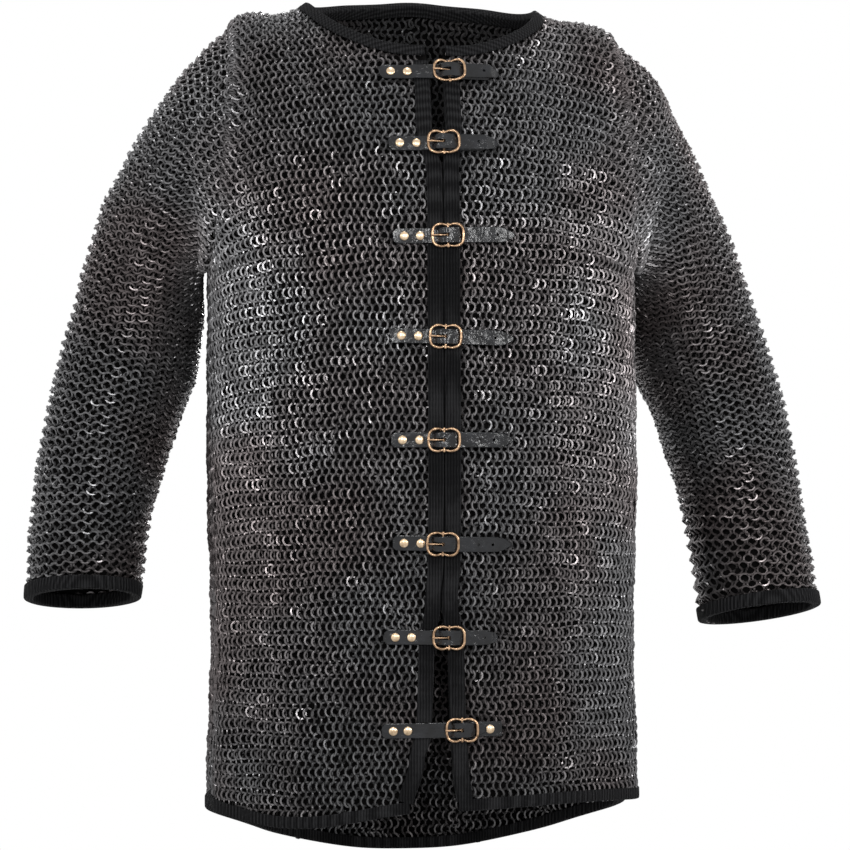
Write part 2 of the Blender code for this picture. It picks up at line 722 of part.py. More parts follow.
def front_surface(x, z):
    """Middle of the front sheet at a place across and a height near the opening."""
    side = LEFT if x >= 0.0 else RIGHT
    distance = abs(x)
    if z <= -ARMPIT_DROP:
        half_width = torso_sizes(z)[0]
        out = share_at(distance * CHEST_HALF_WIDTH / half_width)
        return torso_point(side, out, z)
    out = share_at(distance)
    rise = 0.0
    for _ in range(4):
        ridge = ridge_point(side, out)
        rise = (z + ARMPIT_DROP) / (ridge.z + ARMPIT_DROP)
        widening = 1.0 - (1.0 - SHOULDER_HALF_WIDTH / CHEST_HALF_WIDTH) * rise
        out = share_at(distance / widening)
    over = math.asin(math.sqrt(min(max(rise, 0.0), 1.0))) / (math.pi / 2.0)
    return yoke_point(side, out, over)


def front_frame(x, z, tilt):
    """Frame on the front: X along a strap, Y up the body, Z outwards."""
    step = PROBE
    across = front_surface(x + step, z) - front_surface(x - step, z)
    up = front_surface(x, z + step) - front_surface(x, z - step)
    outward = across.cross(up).normalized()
    along = across.normalized()
    upward = outward.cross(along).normalized()
    basis = Matrix((along, upward, outward)).transposed().to_4x4()
    return Matrix.Translation(front_surface(x, z)) @ basis @ Matrix.Rotation(tilt, 4, "Z")


class Closure:
    """Places of one strap, buckle and chape on the front."""

    def __init__(self, index, fronts):
        self.name = closure_names[index]
        self.z = -closure_drop_shares[index] * SIDE_HEM_DROP
        self.x = FRONT_EDGE_STEP * buckle_offset_shares[index]
        self.tilt = math.radians(closure_tilts_deg[index])
        self.rivet = -(OUTER_RIVET_REACH * outer_rivet_shares[index])
        self.tip = STRAP_REACH * strap_reach_shares[index]
        self.frame = front_frame(self.x, self.z, self.tilt)
        self.near = min(self.lip_places(fronts[RIGHT])) - LEATHER_CLEARANCE
        self.far = max(self.lip_places(fronts[LEFT])) + LEATHER_CLEARANCE
        head_clear = self.near - BINDING_RISE_LENGTH - RIVET_HEAD_RADIUS - EASE
        self.inner_rivet = min(self.rivet + RIVET_SPACING, head_clear)

    def lip_places(self, grid):
        """Where the inner edge of a front binding stands along the strap's width."""
        heights = [row[1][0].z for row in grid]
        across = [row[1][0].x for row in grid]
        levels = self.z + STRAP_WIDTH * np.linspace(-LIP_SEARCH_SHARE, LIP_SEARCH_SHARE, 5)
        return [float(np.interp(level, heights, across)) - self.x for level in levels]

    def on_body(self, along, up, height):
        """World point at a distance along the strap, up the body and off the mail's middle."""
        return self.frame_at(along, up) @ Vector((0.0, 0.0, height))

    def frame_at(self, along, up=0.0):
        level = self.frame @ Vector((along, up, 0.0))
        return front_frame(level.x, level.z, self.tilt)

    def seat(self, along):
        """Height on which leather rests: the mail, or the bindings beside the opening."""
        low = MAIL_THICKNESS / 2.0 + EASE
        rise = smoothstep((along - self.near) / BINDING_RISE_LENGTH + 1.0)
        fall = smoothstep((self.far - along) / BINDING_RISE_LENGTH + 1.0)
        return low + (BINDING_TOP - low) * min(rise, fall)


BINDING_TOP = MAIL_THICKNESS / 2.0 + EASE + BINDING_CLOTH + LEATHER_CLEARANCE
EYE_CLEARANCE = BAR_RADIUS + GAP
CHAPE_LOOP_RADIUS = EYE_CLEARANCE + CHAPE_THICKNESS / 2.0
BAR_HEIGHT = BINDING_TOP + CHAPE_THICKNESS + EYE_CLEARANCE
CHAPE_TOP = BINDING_TOP + 2.0 * CHAPE_THICKNESS + GAP
STRAP_CREST = BAR_HEIGHT + EYE_CLEARANCE + CHAPE_THICKNESS + EASE
LEFT_RIM_HEIGHT = BINDING_TOP + STRAP_THICKNESS + EASE + RIM_LIFT + RIM_RADIUS
RIGHT_RIM_HEIGHT = CHAPE_TOP + EASE + STRAP_THICKNESS + EASE + RIM_LIFT + RIM_RADIUS
RIM_RISE = (LEFT_RIM_HEIGHT + RIGHT_RIM_HEIGHT) / 2.0 - BAR_HEIGHT
FRAME_LEAN = math.atan((RIGHT_RIM_HEIGHT - LEFT_RIM_HEIGHT) / 2.0 / BUCKLE_HALF_LENGTH)


def band(closure, name, path, widths, thickness, collection, material):
    """Leather strip along (place, height) points that bends with the body."""
    vertices = []
    count = len(path)
    for k, (place, height) in enumerate(path):
        before = path[max(k - 1, 0)]
        after = path[min(k + 1, count - 1)]
        run = Vector((after[0] - before[0], after[1] - before[1])).normalized()
        across = Vector((-run.y, run.x)) * thickness / 2.0
        half = widths[k] / 2.0
        for sign_thick, sign_wide in ((1, -1), (1, 1), (-1, 1), (-1, -1)):
            along = place + across.x * sign_thick
            above = height + across.y * sign_thick
            vertices.append(closure.on_body(along, half * sign_wide, above))
    faces = []
    for k in range(count - 1):
        for corner in range(4):
            following = (corner + 1) % 4
            here, there = 4 * k, 4 * (k + 1)
            faces.append((here + corner, here + following, there + following, there + corner))
    last = 4 * (count - 1)
    faces.append((3, 2, 1, 0))
    faces.append((last, last + 1, last + 2, last + 3))
    return add_object(name, vertices, faces, collection, material, smooth=False)


def strap_profile(closure):
    """Middle line of the strap: under the left rim, over the bar, under the right rim."""
    half = STRAP_THICKNESS / 2.0
    start = closure.rivet - STRAP_START_OVERHANG
    near_rim = -BUCKLE_HALF_LENGTH - RIM_RADIUS
    inner = closure.inner_rivet
    ramp_end = closure.near
    places = [start, start + STRAP_END_ROUND, closure.rivet, inner - RIVET_SPACING / 2.0, inner]
    places += [ramp_end - BINDING_RISE_LENGTH, ramp_end]
    if ramp_end < near_rim - BINDING_RISE_LENGTH:
        places += [(ramp_end + near_rim) / 2.0]
    if ramp_end < near_rim:
        places += [near_rim]
    path = [(place, closure.seat(place) + half) for place in places]
    low = BINDING_TOP + half
    crest = STRAP_CREST + half
    over_chape = CHAPE_TOP + EASE + half
    for share, rise in strap_climb_shares:
        path.append((BUCKLE_HALF_LENGTH * share, low + (crest - low) * rise))
    for share, rise in strap_descent_shares:
        path.append((BUCKLE_HALF_LENGTH * share, over_chape + (crest - over_chape) * rise))
    chape_end = CHAPE_LENGTH + EASE
    tip = closure.tip
    stop = min(tip, chape_end)
    for place in np.linspace(BUCKLE_HALF_LENGTH * STRAP_FLAT_START_SHARE, stop, 4):
        path.append((float(place), over_chape))
    if tip > chape_end:
        for share in strap_settle_shares:
            place = chape_end + (tip - chape_end) * share
            rest = closure.seat(place) + half
            path.append((place, over_chape + (rest - over_chape) * smoothstep(share * STRAP_SETTLE_SPEED)))
    return path


def strap_widths(closure, path):
    """Full width with a pointed tip and slightly rounded start."""
    widths = []
    for place, _ in path:
        to_tip = (closure.tip - place) / STRAP_POINT_LENGTH
        point = math.sqrt(min(max(to_tip, 0.0), 1.0))
        widths.append(STRAP_WIDTH * (STRAP_POINT_SHARE + (1.0 - STRAP_POINT_SHARE) * point))
    widths[0] = STRAP_WIDTH - 2.0 * STRAP_END_ROUND
    return widths


def add_cylinder(shape, frame, radius, low, high, segments):
    """A round plug along a frame's outward axis."""
    middle = Matrix.Translation((0.0, 0.0, (low + high) / 2.0))
    bmesh.ops.create_cone(shape, cap_ends=True, segments=segments, radius1=radius, radius2=radius,
                          depth=high - low, matrix=frame @ middle)


def add_block(shape, frame, length, width, low, high):
    """A straight block along a frame's outward axis."""
    size = Matrix.Diagonal((length, width, high - low, 1.0))
    middle = Matrix.Translation((0.0, 0.0, (low + high) / 2.0))
    bmesh.ops.create_cube(shape, size=1.0, matrix=frame @ middle @ size)


def shape_object(name, shape, collection, material):
    mesh = bpy.data.meshes.new(name)
    shape.to_mesh(mesh)
    shape.free()
    return finish_mesh(name, mesh, collection, material, smooth=False)


def cut(item, cutter, operation="DIFFERENCE"):
    modifier = item.modifiers.new("cut", "BOOLEAN")
    modifier.operation = operation
    modifier.solver = "EXACT"
    modifier.object = cutter
    cutter.hide_render = True
    cutter.display_type = "WIRE"


def rivet_object(name, frame, seat_height, collection, material, steps=FACETS_RIVET):
    """Domed rivet with its shank through the mail and a burr inside."""
    under = seat_height + GAP
    top = under + RIVET_HEAD_HEIGHT
    inner = -MAIL_THICKNESS / 2.0 - RIVET_BURR_CLEARANCE
    profile = [(0.0, top), (RIVET_HEAD_RADIUS * DOME_SHOULDER_SHARE,
                under + RIVET_HEAD_HEIGHT * DOME_SHOULDER_HEIGHT_SHARE),
               (RIVET_HEAD_RADIUS, under), (RIVET_SHANK_RADIUS, under),
               (RIVET_SHANK_RADIUS, inner), (RIVET_BURR_RADIUS, inner),
               (0.0, inner - RIVET_BURR_HEIGHT)]
    mesh = bpy.data.meshes.new(name)
    edges = [(k, k + 1) for k in range(len(profile) - 1)]
    mesh.from_pydata([(radius, 0.0, height) for radius, height in profile], edges, [])
    item = bpy.data.objects.new(name, mesh)
    collection.objects.link(item)
    item.matrix_world = frame
    mesh.materials.append(material)
    turn = item.modifiers.new("turn", "SCREW")
    turn.axis = "Z"
    turn.angle = math.tau
    turn.steps = steps
    turn.render_steps = steps
    turn.use_merge_vertices = True
    turn.merge_threshold = POLE_WELD_DISTANCE
    turn.use_smooth_shade = True
    return item


def tube_curve(name, points, radius, closed, bevel_resolution):
    """Round wire through points, as a mesh with its caps welded."""
    curve = bpy.data.curves.new(name, "CURVE")
    curve.dimensions = "3D"
    curve.bevel_depth = radius
    curve.bevel_resolution = bevel_resolution
    curve.use_fill_caps = True
    curve.twist_mode = "MINIMUM"
    path = curve.splines.new("POLY")
    path.points.add(len(points) - 1)
    for k, point in enumerate(points):
        path.points[k].co = (*point, 1.0)
    path.use_cyclic_u = closed
    source = bpy.data.objects.new(name, curve)
    bpy.context.scene.collection.objects.link(source)
    bpy.context.view_layer.update()
    mesh = bpy.data.meshes.new_from_object(source.evaluated_get(bpy.context.evaluated_depsgraph_get()))
    bpy.data.objects.remove(source, do_unlink=True)
    shape = bmesh.new()
    shape.from_mesh(mesh)
    bmesh.ops.remove_doubles(shape, verts=shape.verts, dist=WELD_DISTANCE)
    bpy.data.meshes.remove(mesh)
    return shape


def rim_points():
    """Outline of the double-loop frame: two round ends drawn in at the waist, bowed up."""
    points = []
    for k in range(RIM_POINTS):
        angle = math.tau * k / RIM_POINTS
        across = math.cos(angle)
        up = math.sin(angle)
        x = BUCKLE_HALF_LENGTH * math.copysign(abs(across) ** RIM_END_SQUARENESS, across)
        notch = math.exp(-((x / (BUCKLE_HALF_LENGTH * RIM_WAIST_SHARE)) ** 2))
        full = BUCKLE_HALF_HEIGHT * math.copysign(abs(up) ** RIM_SIDE_SQUARENESS, up)
        y = full * (1.0 - notch * (1.0 - BUCKLE_WAIST_HEIGHT / BUCKLE_HALF_HEIGHT))
        z = RIM_RISE * smoothstep(abs(x) / (BUCKLE_HALF_LENGTH * RIM_RISE_SHARE))
        points.append((x, y, z))
    return points


def buckle_frame(closure, pivot, collection, cutters, material):
    """The rim with its centre bar, joined into one body."""
    shape = tube_curve("rim", rim_points(), RIM_RADIUS, True, 1)
    mesh = bpy.data.meshes.new("rim")
    shape.to_mesh(mesh)
    shape.free()
    item = finish_mesh("buckle_frame_" + closure.name, mesh, collection, material)
    bar_shape = bmesh.new()
    upright = Matrix.Rotation(math.radians(90.0), 4, "X")
    add_cylinder(bar_shape, upright, BAR_RADIUS, -BUCKLE_WAIST_HEIGHT, BUCKLE_WAIST_HEIGHT,
                 FACETS_ROUND_BAR)
    bar = shape_object("bar_" + closure.name, bar_shape, cutters, None)
    for piece in (item, bar):
        piece.parent = pivot
        piece.matrix_parent_inverse = Matrix.Identity(4)
        piece.rotation_euler = (0.0, -FRAME_LEAN, 0.0)
    cut(item, bar, "UNION")
    return item


def prong_points():
    """Wire of the prong: round the bar, then straight to rest on the left rim."""
    eye = EYE_CLEARANCE + PRONG_RADIUS
    points = []
    for degrees in prong_eye_degrees:
        angle = math.radians(degrees)
        points.append((eye * math.cos(angle), 0.0, eye * math.sin(angle)))
    rest = LEFT_RIM_HEIGHT - BAR_HEIGHT + RIM_RADIUS + EASE + PRONG_RADIUS
    back, above = prong_eye_end_shares
    points.append((-eye * back, 0.0, eye * above))
    points.append((-BUCKLE_HALF_LENGTH * PRONG_REST_SHARE, 0.0, rest))
    points.append((-BUCKLE_HALF_LENGTH - PRONG_OVERHANG, 0.0, rest))
    return points


def prong(closure, pivot, collection, material):
    shape = tube_curve("prong", prong_points(), PRONG_RADIUS, False, 1)
    mesh = bpy.data.meshes.new("prong")
    shape.to_mesh(mesh)
    shape.free()
    item = finish_mesh("prong_" + closure.name, mesh, collection, material)
    item.parent = pivot
    item.matrix_parent_inverse = Matrix.Identity(4)
    return item


def chape_profile():
    """Middle line of the folded chape: out to the bar, round it and back on top."""
    half = CHAPE_THICKNESS / 2.0
    low = BINDING_TOP + half
    upper = low + CHAPE_THICKNESS + GAP
    path = [(CHAPE_LENGTH * share, low) for share in chape_fold_shares]
    for degrees in chape_loop_degrees:
        angle = math.radians(degrees)
        path.append((CHAPE_LOOP_RADIUS * math.cos(angle), BAR_HEIGHT + CHAPE_LOOP_RADIUS * math.sin(angle)))
    crest = path[-1][1]
    for share, rise in chape_return_shares:
        path.append((CHAPE_LENGTH * share, upper + (crest - upper) * rise))
    return path


def chape(closure, collection, cutters, material):
    """Folded chape with the prong's slot, and a shank with its burr behind the mail."""
    path = chape_profile()
    item = band(closure, "chape_" + closure.name, path, [CHAPE_WIDTH] * len(path),
                CHAPE_THICKNESS, collection, material)
    slot_shape = bmesh.new()
    reach = CHAPE_LOOP_RADIUS + CHAPE_THICKNESS
    slot_length = reach + EYE_CLEARANCE + 2.0 * PRONG_RADIUS + EASE + CUT_OVERRUN
    slot_middle = (EYE_CLEARANCE + 2.0 * PRONG_RADIUS + EASE) - slot_length / 2.0
    slot_frame = closure.frame @ Matrix.Translation((slot_middle, 0.0, 0.0))
    add_block(slot_shape, slot_frame, slot_length, CHAPE_SLOT_WIDTH,
              BINDING_TOP - CUT_OVERRUN, STRAP_CREST + CUT_OVERRUN)
    slot = shape_object("chape_slot_" + closure.name, slot_shape, cutters, None)
    cut(item, slot)
    if closure.name == closure_names[-1]:
        hole_shape = bmesh.new()
        add_cylinder(hole_shape, closure.frame_at(CHAPE_RIVET_REACH), HOLE_RADIUS,
                     BINDING_TOP - CUT_OVERRUN, CHAPE_TOP + CUT_OVERRUN, FACETS_HOLE)
        cut(item, shape_object("chape_hole_" + closure.name, hole_shape, cutters, None))
    return item


def strap(closure, collection, cutters, material):
    """Pointed strap with its rivet holes, the prong's slot and the spare holes."""
    path = strap_profile(closure)
    item = band(closure, "strap_" + closure.name, path, strap_widths(closure, path),
                STRAP_THICKNESS, collection, material)
    shape = bmesh.new()
    low = -MAIL_THICKNESS / 2.0 - CUT_OVERRUN
    high = STRAP_CREST + STRAP_THICKNESS + CUT_OVERRUN
    for along in (closure.rivet, closure.inner_rivet):
        add_cylinder(shape, closure.frame_at(along), HOLE_RADIUS, low, high, FACETS_HOLE)
    slot_length = BUCKLE_HALF_LENGTH * SLOT_LENGTH_SHARE
    slot_middle = -BUCKLE_HALF_LENGTH * SLOT_MIDDLE_SHARE
    slot_frame = closure.frame @ Matrix.Translation((slot_middle, 0.0, 0.0))
    add_block(shape, slot_frame, slot_length, 2.0 * HOLE_RADIUS, low, high)
    along = HOLE_START
    while along < closure.tip - STRAP_POINT_LENGTH * LAST_HOLE_SHARE:
        add_cylinder(shape, closure.frame_at(along), PRONG_HOLE_RADIUS, low, high, FACETS_HOLE)
        along += HOLE_PITCH
    cutter = shape_object("strap_holes_" + closure.name, shape, cutters, None)
    cut(item, cutter)
    return item


def build_mail(fronts, collection, cutters, materials, closures):
    """The five sheets of mail, each drawn back half a gap at its seams."""
    sheets = {}
    last_column = len(column_shares) + 1
    for side in (RIGHT, LEFT):
        grid = fronts[side]
        top = len(grid) - 1
        neck_column = 2 + column_shares.index(NECK_SHARE)
        seam_shift(grid, [(last_column, last_column - 1)],
                   [(top, top - 1, neck_column, last_column + 1)])
        sheets[side] = grid
    back = back_grid()
    width = len(back[0])
    top = len(back) - 1
    shoulder = back_column_shares.index(NECK_SHARE)
    from_end = len(back_column_shares) - 1 - shoulder
    seam_shift(back, [(0, 1), (width - 1, width - 2)],
               [(top, top - 1, 0, from_end + 1), (top, top - 1, width - 1 - from_end, width)])
    sheets["back"] = back
    for side in (RIGHT, LEFT):
        vertices, faces = thicken(sheets[side])
        name = "mail_front_" + side_names[side]
        item = add_object(name, vertices, faces, collection, materials["mail"])
        shape = bmesh.new()
        for closure in closures:
            places = [closure.rivet, closure.inner_rivet]
            if side == LEFT:
                places = [CHAPE_RIVET_REACH] if closure.name == closure_names[-1] else []
            for along in places:
                add_cylinder(shape, closure.frame_at(along), HOLE_RADIUS,
                             -MAIL_THICKNESS / 2.0 - CUT_OVERRUN, MAIL_THICKNESS / 2.0 + CUT_OVERRUN,
                             FACETS_HOLE)
        cut(item, shape_object("mail_holes_" + side_names[side], shape, cutters, None))
    vertices, faces = thicken(back)
    add_object("mail_back", vertices, faces, collection, materials["mail"])
    for side in (RIGHT, LEFT):
        grid = sleeve_grid(side)
        half_gap = GAP / 2.0
        first = []
        for here, beyond in zip(grid[0], grid[1]):
            first.append((here[0] + (beyond[0] - here[0]).normalized() * half_gap, here[1]))
        grid[0] = first
        sheets["sleeve", side] = grid
        vertices, faces = thicken(grid, closed=True)
        add_object("mail_sleeve_" + side_names[side], vertices, faces, collection, materials["mail"])
    return sheets


def build_bindings(sheets, collection, materials):
    """Folded cloth on the neck, the front edges, the hem and the cuffs."""
    cloth = materials["binding"]
    lip = 1.0 - 2.0 * EASE / HEM_BINDING_WIDTH
    hem = [(cell, inner) for cell, inner in zip(sheets[RIGHT][0], sheets[RIGHT][1])]
    back = [(cell, inner) for cell, inner in zip(sheets["back"][0], sheets["back"][1])]
    left = [(cell, inner) for cell, inner in zip(sheets[LEFT][0], sheets[LEFT][1])]
    channel("hem_binding", hem + back + left[::-1], lip, EASE, collection, cloth)
    neck_column = 2 + column_shares.index(NECK_SHARE)
    shoulder = len(back_column_shares) - 1 - back_column_shares.index(NECK_SHARE)
    right_neck = list(zip(sheets[RIGHT][-1], sheets[RIGHT][-2]))[:neck_column]
    left_neck = list(zip(sheets[LEFT][-1], sheets[LEFT][-2]))[:neck_column]
    nape = list(zip(sheets["back"][-1], sheets["back"][-2]))
    nape = nape[shoulder + 1:len(nape) - 1 - shoulder]
    right_corner = neck_corner(sheets, RIGHT, neck_column)
    left_corner = neck_corner(sheets, LEFT, neck_column)
    right_neck = narrowed(right_neck[::-1])[::-1]
    left_neck = narrowed(left_neck[::-1])
    nape = narrowed(narrowed(nape)[::-1])[::-1]
    channel("neck_binding", right_neck + [right_corner] + nape + [left_corner] + left_neck,
            lip, NECK_EASE, collection, cloth)
    for side in (RIGHT, LEFT):
        rows = sheets[side][1:-1]
        edge = [(row[0], row[1]) for row in rows]
        edge[0] = (shifted(sheets[side], 1, 2, 0), shifted(sheets[side], 1, 2, 1))
        top = len(sheets[side]) - 2
        edge[-1] = (shifted(sheets[side], top, top - 1, 0), shifted(sheets[side], top, top - 1, 1))
        channel("front_edge_binding_" + side_names[side], edge,
                1.0 - 2.0 * EASE / FRONT_BINDING_WIDTH, EASE, collection, cloth)
        cuff = list(zip(sheets["sleeve", side][-1], sheets["sleeve", side][-2]))
        channel("cuff_binding_" + side_names[side], cuff,
                1.0 - 2.0 * EASE / CUFF_BINDING_WIDTH, EASE, collection, cloth, closed=True)


def neck_corner(sheets, side, column):
    """Where the neckline turns over the shoulder: the cloth reaches out along the ridge."""
    corner = sheets[side][-1][column]
    beyond = sheets[side][-1][column + 1]
    return corner, beyond, neck_reach_shares[0]


def narrowed(stations):
    """Stations counted from a corner of the neckline; the cloth narrows towards it."""
    near = zip(stations, neck_reach_shares[1:])
    return [(*station[:2], reach) for station, reach in near] + stations[len(neck_reach_shares) - 1:]


def shifted(grid, row, towards, column):
    """A cell of a row moved a little towards the next row, clear of the corner."""
    point, normal = grid[row][column]
    onward = (grid[towards][column][0] - point).normalized()
    return point + onward * EASE, normal


def build_closure(closure, collection, cutters, materials):
    pivot_frame = closure.frame @ Matrix.Translation((0.0, 0.0, BAR_HEIGHT))
    pivot = bpy.data.objects.new("buckle_axis_" + closure.name, None)
    cutters.objects.link(pivot)
    pivot.matrix_world = pivot_frame
    bpy.context.view_layer.update()
    strap(closure, collection, cutters, materials["leather"])
    chape(closure, collection, cutters, materials["leather"])
    buckle_frame(closure, pivot, collection, cutters, materials["buckle"])
    prong(closure, pivot, collection, materials["buckle"])
    for label, along in (("outer", closure.rivet), ("inner", closure.inner_rivet)):
        top = closure.seat(along) + STRAP_THICKNESS
        rivet_object("rivet_" + label + "_" + closure.name, closure.frame_at(along), top,
                     collection, materials["rivet"])
    if closure.name == closure_names[-1]:
        rivet_object("chape_rivet_" + closure.name, closure.frame_at(CHAPE_RIVET_REACH),
                     CHAPE_TOP, collection, materials["rivet"])


def build():
    clear_scene()
    collection = make_collection("chainmail_jacket")
    cutters = make_collection("cutters")
    materials = {
        "mail": make_material("blackened_steel_mail", (0.055, 0.052, 0.050), 0.38, 0.9),
        "binding": make_material("black_cloth_binding", (0.012, 0.012, 0.013), 0.92, 0.0),
        "leather": make_material("black_leather", (0.016, 0.017, 0.020), 0.42, 0.0),
        "buckle": make_material("antique_brass", (0.45, 0.29, 0.15), 0.35, 1.0),
        "rivet": make_material("pale_brass", (0.72, 0.58, 0.36), 0.33, 1.0),
    }
    fronts = {side: front_grid(side) for side in (RIGHT, LEFT)}
    closures = [Closure(index, fronts) for index in range(len(closure_names))]
    sheets = build_mail(fronts, collection, cutters, materials, closures)
    build_bindings(sheets, collection, materials)
    for closure in closures:
        build_closure(closure, collection, cutters, materials)


build()
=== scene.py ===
"""Looks of the chainmail jacket: linked rings, cloth bindings, leather straps and brass buckles.

Metres, +Z up, the opening faces -Y. Right and left are the wearer's, so right is on -X.
The surfaces are those of the CAD solids. Round the torso a place is counted in quarters from the
middle of the front; over a shoulder or round a sleeve, in quarters from the front too.
"""
import math
from functools import partial

import bmesh
import bpy
import numpy as np
from mathutils import Matrix, Vector


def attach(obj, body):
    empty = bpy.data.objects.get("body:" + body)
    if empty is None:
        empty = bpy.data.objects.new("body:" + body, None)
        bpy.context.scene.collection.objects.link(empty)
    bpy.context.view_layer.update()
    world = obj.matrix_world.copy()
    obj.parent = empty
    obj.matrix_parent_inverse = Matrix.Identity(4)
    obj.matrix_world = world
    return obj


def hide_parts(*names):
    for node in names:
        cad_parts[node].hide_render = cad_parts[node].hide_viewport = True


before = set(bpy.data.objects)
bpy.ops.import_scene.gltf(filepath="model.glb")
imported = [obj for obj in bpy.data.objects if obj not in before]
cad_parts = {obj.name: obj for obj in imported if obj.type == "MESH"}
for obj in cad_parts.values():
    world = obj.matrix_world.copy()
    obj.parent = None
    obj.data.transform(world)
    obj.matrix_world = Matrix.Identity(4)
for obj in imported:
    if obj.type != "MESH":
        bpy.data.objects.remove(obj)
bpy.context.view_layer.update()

RIGHT = -1
LEFT = 1
SIDES = (RIGHT, LEFT)
side_names = {RIGHT: "right", LEFT: "left"}
QUARTER_TURN = math.pi / 2.0
MM = 0.001

# Mail sheet and the gaps between neighbours
MAIL_THICKNESS = 0.007
GAP = 0.0003
EASE = 0.0005
PROBE = 0.001
NEARLY_ONE = 0.9995

# Torso at the armpits, the belly, the waist and the side hem
torso_drops = (0.262, 0.470, 0.650, 0.817)
half_widths = (0.2200, 0.2215, 0.2165, 0.2205)
front_depths = (0.150, 0.156, 0.150, 0.148)
back_depths = (0.138, 0.132, 0.134, 0.142)
ARMPIT_DROP = torso_drops[0]
SIDE_HEM_DROP = torso_drops[-1]
SKIRT_LENGTH = SIDE_HEM_DROP - ARMPIT_DROP
CHEST_HALF_WIDTH = half_widths[0]
TORSO_SQUARENESS = 2.4
OVAL_POWER = 2.0 / TORSO_SQUARENESS
OVAL_SAMPLES = 400
hem_dips = {RIGHT: 0.018, LEFT: -0.005}
BACK_HEM_DIP = 0.0695
HEM_ROUNDNESS = 1.2
FOLD_HEIGHT = 0.005
FOLDS_EACH_SIDE = 5
YOKE_ROUNDNESS = 1.7

# Shoulder ridge between the neck and the armholes
NAPE_HEIGHT = 0.056
NAPE_SETBACK = 0.030
NAPE_TURN_SHARE = 0.20
SHOULDER_HALF_WIDTH = 0.200
SHOULDER_NARROWING_SHARE = 1.0 - SHOULDER_HALF_WIDTH / CHEST_HALF_WIDTH
shoulder_drops = {RIGHT: 0.0135, LEFT: 0.0215}
NECK_SHARE = 0.44
NECK_FRONT_DROP = 0.038
NECK_SQUARENESS = 2.2
ridge_height_shares = (1.0, 0.76, 0.28, 0.19, 0.0)
ridge_setback_shares = (1.0, 0.85, 0.28, 0.03, 0.0)
SETTLING_ROUNDS = 4

# Sleeves: reach from the middle to the outer end of the cuff, and its drop. The outer line's
# shares run from the shoulder to the reach, the inner line's from clear of the body.
SLEEVE_HALF_DEPTH = 0.075
SLEEVE_SETBACK = 0.058
UNDERARM_STEP = 0.0085
UNDERARM_POWER = 4
UNDERARM_FADE = 5.0
CUFF_TILT = 0.013
CUFF_PROBE_SHARE = 0.03
sleeve_reaches = {RIGHT: 0.4100, LEFT: 0.4225}
sleeve_drops = {RIGHT: 0.606, LEFT: 0.632}
outer_line_shares = {
    RIGHT: ((0.155, 0.0698), (0.317, 0.1396), (0.595, 0.310), (0.748, 0.485),
            (0.881, 0.658), (0.967, 0.831), (1.0, 1.0)),
    LEFT: ((0.209, 0.0894), (0.344, 0.157), (0.569, 0.313), (0.748, 0.484),
           (0.874, 0.651), (0.946, 0.825), (1.0, 0.980))}
inner_line_shares = {
    RIGHT: ((0.011, 0.4406), (0.006, 0.4715), (0.003, 0.5312), (0.034, 0.608),
            (0.152, 0.7056), (0.288, 0.832), (0.388, 1.0)),
    LEFT: ((0.010, 0.4233), (0.006, 0.4532), (0.003, 0.5098), (0.059, 0.583),
           (0.173, 0.6756), (0.281, 0.800), (0.384, 1.0))}
sleeve_depth_shares = (1.0, 1.03, 1.02, 0.99, 0.95, 0.90, 0.86, 0.83)
sleeve_setback_shares = (0.0, 0.40, 0.80, 1.0, 0.88, 0.58, 0.28, 0.0)

# Cloth bindings
BINDING_CLOTH = 0.0012
BOUND_INSET = BINDING_CLOTH + EASE
FRONT_BINDING_WIDTH = 0.0145
NECK_BINDING_WIDTH = 0.0115
HEM_BINDING_WIDTH = 0.0110
CUFF_BINDING_WIDTH = 0.0125
HEM_SHARE = 1.0 - BOUND_INSET / SKIRT_LENGTH
NECK_LIP_SHARE = 0.004
NECK_LIP_RISE_SHARE = 0.02
FRONT_TAPE_END_SHARE = 0.965

# The opening: how far each front edge stands from the middle at shares of the front's drop
FRONT_EDGE_STEP = 0.010
EDGE_GUESS_SHARE = 0.8
opening_drop_shares = (0.0, 0.135, 0.175, 0.689, 0.739, 0.800, 0.900, 0.937, 1.0)
edge_step_shares = {RIGHT: (-0.65, -0.65, 0.28, 0.28, 0.02, -0.65, -0.85, -1.60, -2.90),
                    LEFT: (0.80, 0.80, 0.34, 0.34, 0.10, 0.80, 0.97, 1.22, 1.75)}

# Leather and brass of the closures
STRAP_WIDTH = 0.0152
STRAP_THICKNESS = 0.0022
STRAP_START_OVERHANG = 0.0110
STRAP_POINT_LENGTH = 0.0140
STRAP_END_ROUND = 0.0030
CHAPE_WIDTH = 0.0150
CHAPE_THICKNESS = 0.0018
CHAPE_LENGTH = 0.0400
CHAPE_RIVET_REACH = 0.0280
CHAPE_SLOT_WIDTH = 0.0042
BAR_RADIUS = 0.0013
RIM_RADIUS = 0.0014
BUCKLE_HALF_LENGTH = 0.0156
BUCKLE_HALF_HEIGHT = 0.0116
BUCKLE_WAIST_HEIGHT = 0.0098
PRONG_RADIUS = 0.0009
PRONG_OVERHANG = 0.0022
RIVET_HEAD_RADIUS = 0.0046
RIVET_HEAD_HEIGHT = 0.0019
RIVET_SHANK_RADIUS = 0.0014
RIVET_BURR_RADIUS = 0.0038
RIVET_BURR_HEIGHT = 0.0009
RIVET_BURR_CLEARANCE = 0.0016
HOLE_RADIUS = 0.0018
PRONG_HOLE_RADIUS = 0.0015
CUT_OVERRUN = 0.004
BINDING_RISE_LENGTH = 0.0016
LEATHER_CLEARANCE = 0.0008
RIM_LIFT = 0.0008
OUTER_RIVET_REACH = 0.0450
RIVET_SPACING = 0.0170
STRAP_REACH = 0.0680
HOLE_PITCH = 0.0150
HOLE_START = 0.0350
closure_drop_shares = (0.0839, 0.1730, 0.2869, 0.4120, 0.5394, 0.6670, 0.7833, 0.8973)
